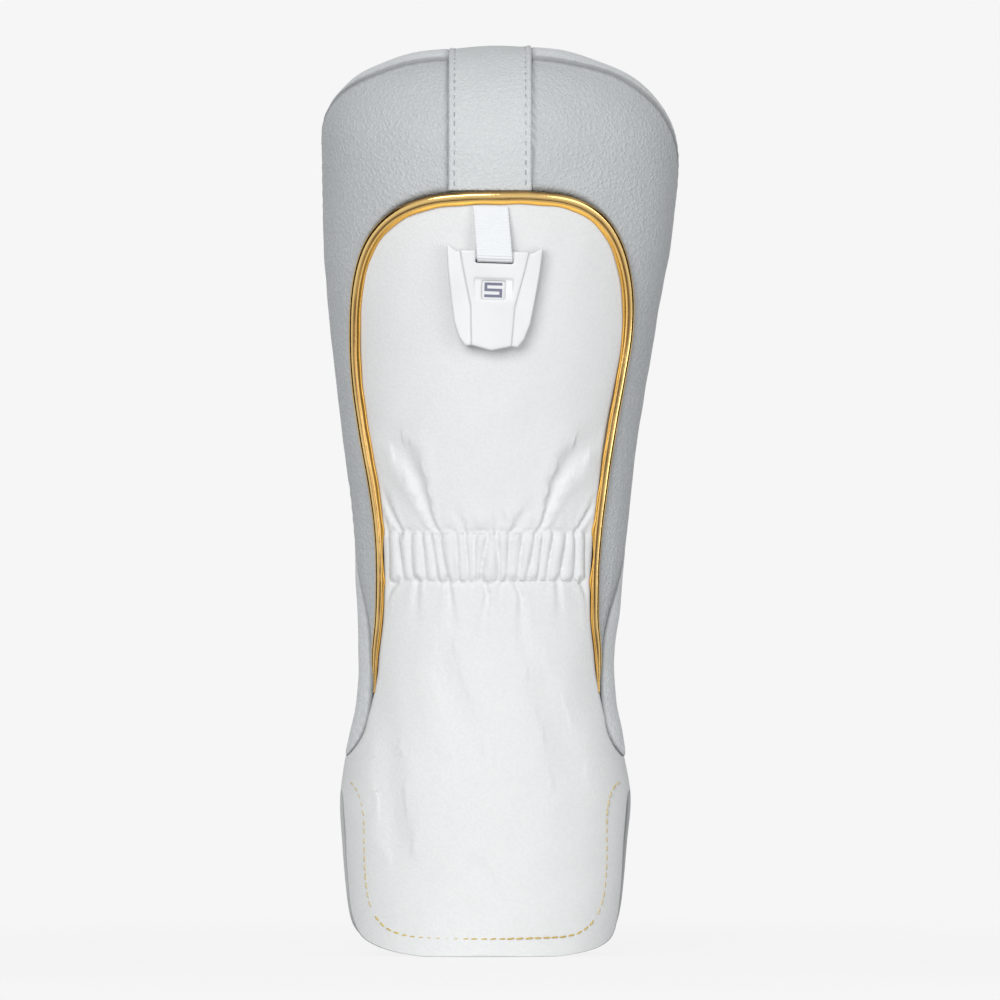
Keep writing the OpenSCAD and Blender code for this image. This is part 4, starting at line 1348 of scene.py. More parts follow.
@dataclass
class Skin:
    """The leather panels of the cover."""

    finish: Finishes
    leather_t: float = 1.2
    turn: float = 1.7
    drop: float = 0.85
    tuck: float = 1.6
    tuck_z: float = 93.5
    channel_depth: float = 1.0
    crown_drop: float = 0.9
    seam_shade_w: float = 1.2
    crown_seam_shade_w: float = 2.0
    waist_z: tuple[float, float] = (128.0, 166.0)
    waist_finer: float = 2.6
    front_rows: int = 226
    front_cols: int = 196
    yoke_cols: int = 44
    gusset_cols: int = 34
    back_cols: int = 96
    pucker: float = 0.10
    pucker_l: float = 4.6
    front_waves: tuple = ((0.22, 46, 5), (0.10, 17, 8))
    strip_waves: tuple = ((0.24, 38, 11), (0.10, 15, 12))

    def front_panel(self) -> bpy.types.Object:
        """White centre panel with the gathered waist.

        Returns:
            The panel.
        """
        edges = []
        for hand in (-1, 1):
            edge = SEAMS.front_edge(hand, 16)
            inwards = -hand * self.tuck * bump(SHAPE.outer(edge)[:, 2], self.tuck_z, 6.5)
            edges.append(SHAPE.beside(edge, inwards))
        left, right = row_spacing(edges[0], edges[1], self.front_rows, *self.waist_z, self.waist_finer)
        patch = Patch(left, right, self.front_cols)
        x, z = patch.x, patch.z
        height = Gathers().height(x, z) * ramp(patch.from_left, 0.6, 4.0) * ramp(patch.from_right, 0.6, 4.0)
        above = ramp(z, 70, 95)
        side = patch.turned(patch.from_left, patch.from_right, radius=self.turn, drop=self.drop)
        top = patch.turned(patch.from_top, radius=self.turn, drop=self.drop)
        flap = patch.turned(patch.from_left, patch.from_right, patch.from_bottom, radius=1.3, drop=0.8)
        height = height + above * side + top + (1 - above) * flap
        height += waves(x, z, self.front_waves)
        # Painted shade: a darker strip along the flap's edges below the slit tops, and a faint one along the
        # seams above them.
        near = np.minimum(patch.from_left, patch.from_right)
        edge = np.where(z < SEAMS.slit_top, ramp(-near, -2.0, -0.9), 0.25 * ramp(-near, -2.5, 0.0))
        return patch.shell("front_panel_leather", height, self.leather_t, edge)

    def channel(self, x: Array) -> Array:
        """How far a panel gives way under the crown strap."""
        return -self.channel_depth * ramp(-np.abs(x - CrownStrap.middle), -CrownStrap.width / 2 - 0.6,
                           0.8 - CrownStrap.width / 2)

    def strip(self, name: str, inner: Array, outer: Array, cols: int, side: Side = Side.FRONT,
              puff: float = 0.5) -> bpy.types.Object:
        """A long panel between two seams, padded a little and puckered along both.

        Args:
            name: Name of the piece.
            inner: Places along one seam.
            outer: Places along the other.
            cols: Points across.
            side: The half of the cover.
            puff: How far its middle stands out.

        Returns:
            The panel.
        """
        patch = Patch(inner, outer, cols, side)
        near = np.minimum(patch.from_left, patch.from_right)
        height = patch.turned(patch.from_left, patch.from_right, radius=self.turn, drop=self.drop)
        height += (puff - self.crown_drop * ramp(patch.z, 236, 286)
                   * ramp(np.abs(patch.x), 20, 46)) * ramp(near, 0.5, 9.0)
        pucker = np.sin(patch.from_bottom * 2 * math.pi / self.pucker_l + 2.2
                        * wander(patch.from_bottom, 0 * near, 30, 4))
        height += self.pucker * pucker * bump(near, 2.2, 2.2)
        height += waves(patch.x, patch.z, self.strip_waves) * ramp(near, 0.5, 5.0)
        # Painted shade: the colour is darkened along both seams, wider towards the crown, and a painted
        # shadow lies beside the crown strap's edges.
        beside = 0.8 * bump(np.abs(patch.x - CrownStrap.middle), CrownStrap.width / 2 + 0.3, 0.8)
        reach = self.seam_shade_w + self.crown_seam_shade_w * ramp(patch.z, 262, 285)
        seam = np.clip((reach - near) / (0.8 * reach), 0, 1)
        return patch.shell(name, height + self.channel(patch.x), self.leather_t, np.maximum(seam, beside))

    def yoke(self) -> bpy.types.Object:
        """Grey horseshoe between the welt and the gusset.

        Returns:
            The panel.
        """
        welt = SEAMS.welt_path(20)
        welt = welt[welt[:, 1] > 112 - SHAPE.crown_z]
        inner = SHAPE.beside(welt, SEAMS.welt_half * SEAMS.welt_sizes(welt))
        rim = SHAPE.beside(SEAMS.gusset_seam(False, 20, 7), -SEAMS.seam_gap / 2)
        return self.strip("yoke_leather", resampled(rim, 420), resampled(inner, 420), self.yoke_cols)

    def gusset(self) -> bpy.types.Object:
        """Pale strip up one side, over the crown and down the other.

        Returns:
            The panel.
        """
        back = SHAPE.beside(SEAMS.gusset_seam(True, 12), -SEAMS.seam_gap / 2)
        front = SHAPE.beside(SEAMS.gusset_seam(False, 12), SEAMS.seam_gap / 2)
        return self.strip("gusset_leather", back, front, self.gusset_cols)

    def back_panel(self) -> bpy.types.Object:
        """Grey back, from the back seam over the crown.

        Returns:
            The panel.
        """
        rim = SHAPE.beside(from_back(SEAMS.gusset_seam(True, 10, 6)), -SEAMS.seam_gap / 2)
        half = len(rim) // 2
        patch = Patch(rim[: half + 1], rim[half:][::-1], self.back_cols, Side.BACK)
        near = np.minimum(np.minimum(patch.from_left, patch.from_right), patch.from_bottom)
        height = patch.turned(patch.from_left, patch.from_right, patch.from_bottom, radius=self.turn,
                              drop=self.drop)
        waist = bump(patch.z, 143, 20)
        height += waist * 0.5 * np.sin(patch.x * 2 * math.pi / 11
                                       + wander(patch.x, patch.z, 40, 6)) * ramp(near, 1, 8)
        height += (0.5 + 0.3 * wander(patch.x, patch.z, 44, 21)) * ramp(near, 0.5, 9.0)
        under = self.channel(patch.x) * ramp(patch.z, CrownStrap.back_z - 2, CrownStrap.back_z + 1)
        # The last argument is painted shade along the panel's seams.
        return patch.shell("back_leather", height + under, self.leather_t, 0.9 * ramp(-near, -1.5, -0.2))

    def back_cuff(self) -> bpy.types.Object:
        """White back of the mouth.

        Returns:
            The panel.
        """
        patch = Patch(SEAMS.back_edge(-1, 9), SEAMS.back_edge(1, 9), self.back_cols, Side.BACK)
        near = np.minimum(np.minimum(patch.from_left, patch.from_right),
                          np.minimum(patch.from_top, patch.from_bottom))
        height = patch.turned(patch.from_left, patch.from_right, patch.from_bottom, patch.from_top,
                              radius=self.turn, drop=self.drop)
        height += (0.2 + 0.3 * wander(patch.x, patch.z, 40, 31)) * ramp(near, 0.5, 8.0)
        # Painted shade: a darker strip along the edges of the slits.
        side = np.minimum(patch.from_left, patch.from_right)
        edge = 0.5 * np.clip((2.0 - side) / 0.9, 0, 1) * (patch.z < SEAMS.slit_top)
        return patch.shell("cuff_leather", height, self.leather_t, edge)

    def build(self) -> None:
        """Make and finish every panel."""
        dress(self.front_panel(), self.finish.white, "cover", "white_leather", "front_panel")
        dress(self.yoke(), self.finish.grey, "cover", "grey_leather", "front_yoke")
        dress(self.gusset(), self.finish.pale, "cover", "pale_grey_leather", "side_gusset")
        dress(self.back_panel(), self.finish.grey, "cover", "grey_leather", "back_panel")
        dress(self.back_cuff(), self.finish.white, "cover", "white_leather", "back_cuff")


@dataclass
class CrownStrap:
    """Folded strap that runs from under the welt over the crown and down the back."""

    finish: Finishes
    width: float = 30.0
    middle: float = 0.8
    thickness: float = 1.0
    gap: float = 0.1
    front_z: float = 276.0
    back_z: float = 240.0
    stitch: Stitch = Stitch(3.6, 2.4, 0.55)
    stitch_in: float = 2.2
    sink: float = 0.35
    edge_drop: float = 0.55
    groove: float = 0.24
    border: float = 0.30
    uneven: float = 0.12

    def under(self, x: Array, turn: Array) -> Array:
        """Point of the cover under the strap.

        Args:
            x: Distance across.
            turn: Below 0 it is the height under the crown at the front, from 0 to 180 the turn over
                the crown in degrees, and above that the way down the back.

        Returns:
            Points in millimetres.
        """
        front = SHAPE.outer(SHAPE.seen(x, SHAPE.crown_z + np.minimum(turn, 0)))
        back = SHAPE.outer(SHAPE.seen(x, SHAPE.crown_z + 180 - np.maximum(turn, 180))) * [1, -1, 1]
        reach, angle = np.full(x.shape, 41.0), np.radians(np.clip(turn, 0, 180))
        for _ in range(6):
            span = (np.sin(angle) / reach) ** 2 + (np.cos(angle) / SHAPE.pocket_depth) ** 2
            q = np.sqrt((1 - x * x / (reach * reach)) / span)
            reach = smooth(np.degrees(np.arctan2(q * np.sin(angle), x)), SHAPE.crown)
        over = np.stack([x, -q * np.cos(angle), SHAPE.crown_z + q * np.sin(angle)], -1)
        return np.where((turn < 0)[..., None], front, np.where((turn > 180)[..., None], back, over))

    def lifted(self, x: Array, turn: Array, height: Array | float) -> tuple[Array, Array]:
        """Points above the cover, and the normal at each.

        Args:
            x: Distance across.
            turn: Way along the strap, as in under.
            height: Distance outwards in millimetres.

        Returns:
            Points and unit normals.
        """
        e = 0.05
        n = np.cross(self.under(x + e, turn) - self.under(x - e, turn),
                     self.under(x, turn + e) - self.under(x, turn - e))
        n = n / np.linalg.norm(n, axis=-1, keepdims=True)
        return self.under(x, turn) + np.asarray(height)[..., None] * n, n

    def build(self) -> None:
        """Make the strap and its two rows of topstitching."""
        turns = np.concatenate([np.linspace(self.front_z - SHAPE.crown_z, -0.4, 14),
                                np.linspace(0.4, 179.6, 190),
                                np.linspace(180.6, 180 + SHAPE.crown_z - self.back_z, 60)])
        half = self.width / 2
        s = np.linspace(-1, 1, 61)
        across = half * np.sin(s * math.pi / 2) * 0.35 + half * s * 0.65
        x, turn = np.meshgrid(self.middle + across, turns)
        edge = half - np.abs(x - self.middle)
        fall = 1 - np.sqrt(1 - np.clip(1 - edge / 1.1, 0, 1) ** 2)
        top = self.thickness - self.edge_drop * fall - self.sink
        top -= self.groove * bump(edge, self.stitch_in, 0.45)
        top += self.border * bump(edge, 0.45 * self.stitch_in, 1.0) + self.uneven * wander(x, turn, 24, 9)
        upper, _ = self.lifted(x, turn, self.gap + top)
        lower, _ = self.lifted(x, turn, self.gap - self.sink + 0 * top)
        dress(shell_object("strap_leather", upper, lower), self.finish.strap, "cover", "grey_leather",
              "crown_strap")
        rows = []
        for hand in (-1, 1):
            at = np.full(turns.shape, self.middle + hand * (half - self.stitch_in))
            path, normals = self.lifted(at, turns, self.gap + self.thickness - 0.2 - self.sink)
            rows.append(row_of_stitches(f"strap_row_{hand}", path[1:-1], normals[1:-1], self.stitch,
                                        self.finish.grey_thread, seed=4 + hand))
        dress(joined("strap_stitches", rows), self.finish.grey_thread, "cover", "grey_thread", "strap_thread")


def joined(name: str, pieces: list[bpy.types.Object]) -> bpy.types.Object:
    """Join meshes into one object.

    Args:
        name: Name of the object.
        pieces: Objects to join, which are removed.

    Returns:
        The object.
    """
    work = bmesh.new()
    for piece in pieces:
        work.from_mesh(piece.data)
    mesh = bpy.data.meshes.new(name)
    work.to_mesh(mesh)
    work.free()
    mesh.shade_smooth()
    for piece in pieces:
        bpy.data.objects.remove(piece)
    whole = bpy.data.objects.new(name, mesh)
    bpy.context.scene.collection.objects.link(whole)
    return whole


@dataclass
class Welt:
    """Gold foil vinyl folded round a cord, with the flat flange on the arch's inner side."""

    finish: Finishes
    cord_r: float = 1.0
    skin_t: float = 0.5
    flange_w: float = 1.8
    flange_gap: float = 0.3
    flange_edge: float = 0.12
    wrap: float = 336.0
    steps: int = 14
    # Bands painted dark on the tube, as (angle, width) in degrees: a painted reflection of dark surroundings
    # on its outer side, and painted shade in the crease by the flange.
    low_band: tuple[float, float] = (142.0, 40.0)
    high_band: tuple[float, float] = (26.0, 22.0)
    high_share: float = 0.95
    cord_slack: float = 0.08
    cord_lay: float = 1.5

    def frames(self, steps: int) -> tuple[Array, Array, Array, Array]:
        """Points along the welt, with the inward and the outward direction and the size at each.

        Args:
            steps: Pieces to each stretch.

        Returns:
            Points, two sets of unit vectors, and sizes.
        """
        path = SEAMS.welt_path(steps)
        here = SHAPE.lifted(path, 0.0)
        up = SHAPE.normal(path)
        side = np.cross(np.gradient(here, axis=0), up)
        size = SEAMS.welt_sizes(path) * (0.45 + 0.55 * ramp(here[:, 2], 95, 106))
        return here, side / np.linalg.norm(side, axis=1, keepdims=True), up, size

    def swept(self, name: str, profile: Array, steps: int) -> bpy.types.Object:
        """Sweep a profile, one for each ring, along the welt.

        Args:
            name: Name of the piece.
            profile: Section at each ring: inward and outward.
            steps: Pieces to each stretch.

        Returns:
            The piece.
        """
        here, side, up, size = self.frames(steps)
        profile = profile * size[:, None, None]
        return swept_object(name, here[:, None] + profile[..., :1] * side[:, None] + profile[..., 1:]
                            * up[:, None])

    def flange(self, here: Array, run: Array) -> Array:
        """Width of the flange that shows: wavy at the gathers, and tucked under at the right.

        Args:
            here: Points along the welt.
            run: Distance along it.

        Returns:
            Widths in millimetres.
        """
        x, z = here[:, :1], here[:, 2:]
        tucked = ramp(x, 30, 40) * ramp(z, 150, 175) * ramp(-z, -235, -205)
        width = self.flange_w * (1 - 0.6 * tucked) * (1 - 0.45 * ramp(-z, -165, -148))
        folds = 0.9 * bump(z, 153.5, 2.6) + 0.8 * bump(z, 135.2, 2.4) - 0.5 * bump(z, 144, 4.0)
        return width + 0.10 * np.sin(run / 2.3) + folds

    def build(self) -> None:
        """Make the vinyl and the cord inside it."""
        here, _, _, _ = self.frames(self.steps)
        run = np.concatenate([[0], np.cumsum(np.linalg.norm(np.diff(here, axis=0), axis=1))])[:, None]
        r, lift = self.cord_r + self.skin_t, SEAMS.welt_lift
        top = self.flange_gap + self.skin_t
        start = math.asin((top - lift) / r)
        at = start + np.linspace(0, math.radians(self.wrap), 30)[None, :]
        waist = bump(here[:, 2], 143, 14)[:, None]
        slow = 0.010 * np.sin(run / 2.9 + 2 * np.sin(at))
        dent = slow + 0.012 * waist * np.sin(run / 0.83 + 3 * np.cos(at))
        radius = r * (1 + dent)
        tube = np.stack([radius * np.cos(at), lift + radius * np.sin(at)], -1)
        end = r + self.flange(here, run)
        rows = len(here)
        low = np.stack([end, np.full((rows, 1), self.flange_gap)], -1)
        high = np.stack([end, np.full((rows, 1), top - self.flange_edge)], -1)
        near = np.stack([end - 0.2, np.full((rows, 1), top)], -1)
        mid = np.stack([(r + end) / 2, top + 0.06 * np.sin(run / 2.1)], -1)
        profile = np.concatenate([tube, low, high, near, mid], 1)
        vinyl = self.swept("welt_vinyl", profile, self.steps)
        flat = vinyl.data.attributes.new("flange", "FLOAT", "POINT")
        flat.data.foreach_set("value", np.tile(np.arange(profile.shape[1]) >= at.shape[1],
                                               rows).astype(float))
        turn = np.concatenate([np.degrees(at[0]), np.full(profile.shape[1] - at.shape[1], -90.0)])
        # Painted reflection and painted shade: the weight of the dark bands round the tube.
        crease = vinyl.data.attributes.new("deep", "FLOAT", "POINT")
        bands = bump(turn, *self.low_band) + self.high_share * bump(turn, *self.high_band)
        crease.data.foreach_set("value", np.tile(bands, rows))
        dress(vinyl, self.finish.gold, "cover", "gold_vinyl", "piping_cover")
        at = np.linspace(0, 2 * math.pi, 16, endpoint=False)
        turn = at[None, :] + run / self.cord_lay
        radius = (self.cord_r - self.cord_slack) * (1 - 0.05 * np.abs(np.cos(1.5 * turn)))
        cord = np.stack([radius * np.cos(at), lift + radius * np.sin(at)], -1)
        dress(self.swept("welt_cord", cord, self.steps), self.finish.cord, "cover", "white_cord",
              "piping_cord")


@dataclass
class Inside:
    """Foam, fleece, waist elastic, hems, and the stitching of the hems and the gathers."""

    finish: Finishes
    hem_w: float = 6.5
    hem_in: float = 0.3
    hem_past: float = 1.0
    hem_t: float = 0.8
    hem_at: float = -1.6
    pad_at: float = -1.9
    foam_t: float = 2.0
    lining_at: float = -4.0
    fleece_t: float = 2.5
    side_thread_z: float = 15.0
    slit_edge_r: float = 0.85
    slit_edge_z: tuple[float, float] = (14.0, 58.0)
    pad_x: float = 88.5
    pad_z: tuple[float, float] = (161.0, 288.0)
    lining_x: float = 89.0
    slit_x: tuple[float, float] = (74.0, 80.0)
    tuft_count: int = 3600
    tuft_x: tuple[float, float] = (66.0, 86.0)
    tuft_low: float = 8.0
    tuft_span: float = 66.0
    tuft_r: float = 0.75
    tuft_lean: float = 0.7
    tuft_l: float = 1.7
    elastic_z: tuple[float, float] = (134.0, 153.0)
    elastic_in: float = 4.0
    elastic_at: float = -1.3
    elastic_rib: float = 1.6
    elastic_rib_t: float = 0.12
    elastic_t: float = 0.86
    hem_stitch: Stitch = Stitch(3.3, 3.0, 0.6)
    gather_stitch: Stitch = Stitch(3.0, 2.2, 0.42)
    gather_x: float = 33.5
    gather_sunk: float = 0.12

    def over(self, low: list, reach: float, hand: int) -> Array:
        """Edge of a layer that goes on over the crown.

        Args:
            low: Places up to the crown.
            reach: Angle of the edge in degrees.
            hand: -1 for the left edge, 1 for the right.

        Returns:
            The places in order.
        """
        turn = np.radians(9.4 * np.arange(1, 10))
        high = reach * np.stack([hand * np.cos(turn), np.sin(turn)], 1)
        return np.concatenate([np.array(low, float), high])

    def pad(self, side: Side) -> bpy.types.Object:
        """Foam of one half.

        Args:
            side: The half of the cover.

        Returns:
            The pad.
        """
        edges = [through(self.over([(hand * self.pad_x, z - SHAPE.crown_z)
                                    for z in np.linspace(*self.pad_z, 7)], self.pad_x, hand), 4)
                 for hand in (-1, 1)]
        patch = Patch(edges[0], edges[1], 48, side)
        height = np.full(patch.x.shape, self.pad_at)
        return patch.shell(f"foam_{side.name.lower()}", height, self.foam_t)

    def lining(self, side: Side) -> bpy.types.Object:
        """Fleece of one half, soft and uneven.

        Args:
            side: The half of the cover.

        Returns:
            The lining.
        """
        slit = self.slit_x[1] if side is Side.BACK else self.slit_x[0]
        edges = []
        for hand in (-1, 1):
            view = np.array([(20, 0), (33, 2), (38, 6), (40, 12), (42, 24), (43, 38)], float)
            low = SHAPE.seen(hand * view[:, 0], self.hem_w + view[:, 1]).tolist()
            low += [[hand * slit, SEAMS.slit_top - 4 - SHAPE.crown_z]]
            heights = np.linspace(SEAMS.slit_top + 6, SHAPE.crown_z, 11)
            low += [[hand * self.lining_x, z - SHAPE.crown_z] for z in heights]
            edges.append(through(self.over(low, self.lining_x, hand), 6))
        patch = Patch(edges[0], edges[1], 90, side)
        height = self.lining_at + 0.12 * wander(patch.x, patch.z, 9, 14)
        return patch.shell(f"lining_{side.name.lower()}", height,
                           self.fleece_t + 0.5 * np.abs(wander(patch.x, patch.z, 5, 15)))

    def tufts(self, side: Side, seed: int) -> bpy.types.Object:
        """Fleece tufts that show in the mouth and in the slits.

        Args:
            side: The half of the cover.
            seed: Picks where the tufts stand.

        Returns:
            All the tufts in one mesh.
        """
        rng = np.random.default_rng(seed)
        narrow, wide = self.tuft_x
        a = rng.uniform(-wide, wide, self.tuft_count)
        z = self.tuft_low + self.tuft_span * rng.uniform(0, 1, self.tuft_count) ** 1.3
        limit = np.where(z < SEAMS.slit_top + 6, narrow, wide)
        keep = np.abs(a) < limit
        place = np.stack([a, z - SHAPE.crown_z], 1)[keep]
        point = SHAPE.lifted(place, self.lining_at - self.fleece_t + 0.3, side)
        inward = -SHAPE.normal(place) * [1, 1 if side is Side.FRONT else -1, 1]
        along = rng.normal(size=point.shape)
        guide = guide_object(f"fleece_guide_{side.name}", point, along,
                             inward + 0.35 * rng.normal(size=point.shape))
        t = np.linspace(0, 1, 4)[:, None]
        at = np.linspace(0, 2 * math.pi, 5, endpoint=False)[None, :]
        r = self.tuft_r * np.sin(math.pi * (0.25 + 0.7 * t))
        curl = np.stack([r * np.cos(at) + self.tuft_lean * t * t, r * np.sin(at) + 0 * t,
                         self.tuft_l * t + 0 * at], -1)
        return Scatter(f"fleece_tufts_{side.name.lower()}",
                       seed).build(guide, swept_object("tuft", curl), self.finish.fleece, 1.0, 0.35)

    def elastic(self) -> bpy.types.Object:
        """Ribbed elastic band behind the gathers.

        Returns:
            The band.
        """
        rows = []
        for hand in (-1, 1):
            side = sorted((z, x) for x, z in (SEAMS.welt[:10] if hand < 0 else SEAMS.welt[:-11:-1]))
            z = np.linspace(*self.elastic_z, 40)
            edge = SHAPE.seen(smooth(z, side), z)
            edge[:, 0] -= hand * self.elastic_in
            rows.append(edge)
        patch = Patch(rows[0], rows[1], 120)
        height = self.elastic_at - self.elastic_rib_t * np.abs(np.sin(patch.z * math.pi / self.elastic_rib))
        return patch.shell("elastic_band", height, self.elastic_t)

    def rim(self, back: bool) -> Array:
        """The flap's edge from the left slit under the mouth to the right slit.

        Args:
            back: The back flap, and not the front one.

        Returns:
            The places in order.
        """
        if back:
            left, right = SEAMS.back_edge(-1, 1)[:9], SEAMS.back_edge(1, 1)[:9]
        else:
            left, right = np.array(SEAMS.flap_edge(-1)), np.array(SEAMS.flap_edge(1))
        return through(np.concatenate([left[::-1], right]), 12)

    def hem(self, back: bool) -> bpy.types.Object:
        """Turned leather hem inside a flap.

        Args:
            back: The back flap, and not the front one.

        Returns:
            The hem.
        """
        rim = self.rim(back)
        inner = SHAPE.beside(rim, self.hem_w)
        if not back:
            inner = resampled(SHAPE.beside(SEAMS.stitch_path(12), self.hem_past), len(rim))
        patch = Patch(SHAPE.beside(rim, self.hem_in), inner, 14, Side.BACK if back else Side.FRONT)
        height = self.hem_at + patch.turned(patch.from_left, patch.from_right, radius=0.6, drop=0.3)
        return patch.shell("hem_back" if back else "hem_front", height, self.hem_t)

    def slit_edge(self, hand: int) -> bpy.types.Object:
        """Turned edge of the fleece that shows along a side slit.

        Args:
            hand: -1 for the left slit, 1 for the right.

        Returns:
            The roll.
        """
        path = through(np.array(SEAMS.flap_edge(hand)), 8)
        z = SHAPE.outer(path)[:, 2]
        path = path[(z > self.slit_edge_z[0]) & (z < self.slit_edge_z[1])]
        here, up = SHAPE.lifted(path, self.hem_at), SHAPE.normal(path)
        side = np.cross(np.gradient(here, axis=0), up)
        side /= np.linalg.norm(side, axis=1, keepdims=True)
        turn = np.linspace(0, 2 * math.pi, 12, endpoint=False)[None, :, None]
        ends = np.sqrt(np.clip(np.sin(np.linspace(0.02, 0.98, len(path)) * math.pi), 0, 1))[:, None, None]
        r = self.slit_edge_r * ends
        return swept_object(f"slit_edge_{hand}", here[:, None] + r
                            * (np.cos(turn) * side[:, None] + np.sin(turn) * up[:, None]))

    def build(self) -> None:
        """Make and finish each piece."""
        edges = joined("slit_edges", [self.slit_edge(hand) for hand in (-1, 1)])
        dress(edges, self.finish.fleece, "cover", "fleece")
        for side, seed in ((Side.FRONT, 41), (Side.BACK, 42)):
            half = side.name.lower()
            dress(self.pad(side), self.finish.foam, "cover", "foam", f"{half}_pad")
            dress(self.lining(side), self.finish.fleece, "cover", "fleece", f"{half}_lining")
            dress(self.tufts(side, seed), self.finish.fleece, "cover", "fleece")
            dress(self.hem(side is Side.BACK), self.finish.white, "cover", "white_leather", f"{half}_hem")
        dress(self.elastic(), self.finish.elastic, "cover", "elastic", "waist_elastic")
        path = SEAMS.stitch_path(12)
        low = path[:, 1] < self.side_thread_z - SHAPE.crown_z
        first, last = np.flatnonzero(low)[[0, -1]]
        threads = ((path[first:last], self.finish.gold_thread), (path[:first], self.finish.pale_thread),
                   (path[last:], self.finish.pale_thread))
        for number, (row, thread) in enumerate(threads):
            stitches = row_of_stitches(f"hem_stitches_{number}", SHAPE.lifted(row, 0.0), SHAPE.normal(row),
                                       self.hem_stitch, thread, lean=0.05, seed=6 + number)
            dress(stitches, thread, "cover", "gold_thread", "hem_thread")
        dress(self.gather_stitches(), self.finish.white_thread, "cover", "white_thread", "gather_thread")

    def gather_stitches(self) -> bpy.types.Object:
        """The two rows that hold the gathers, down in the valleys' ends.

        Returns:
            Both rows in one mesh.
        """
        gathers, rows = Gathers(), []
        for z in (gathers.low, gathers.high):
            x = np.linspace(-self.gather_x, self.gather_x, 320)
            place = SHAPE.seen(x, np.full(x.shape, z))
            path = SHAPE.lifted(place, gathers.height(x, np.full(x.shape, z)) - self.gather_sunk)
            rows.append(row_of_stitches(f"gather_row_{z:.0f}", path, SHAPE.normal(place),
                                        self.gather_stitch, self.finish.white_thread, seed=12))
        return joined("gather_stitches", rows)


# ---- Ribbon and tag --------------------------------------------------------------------------------


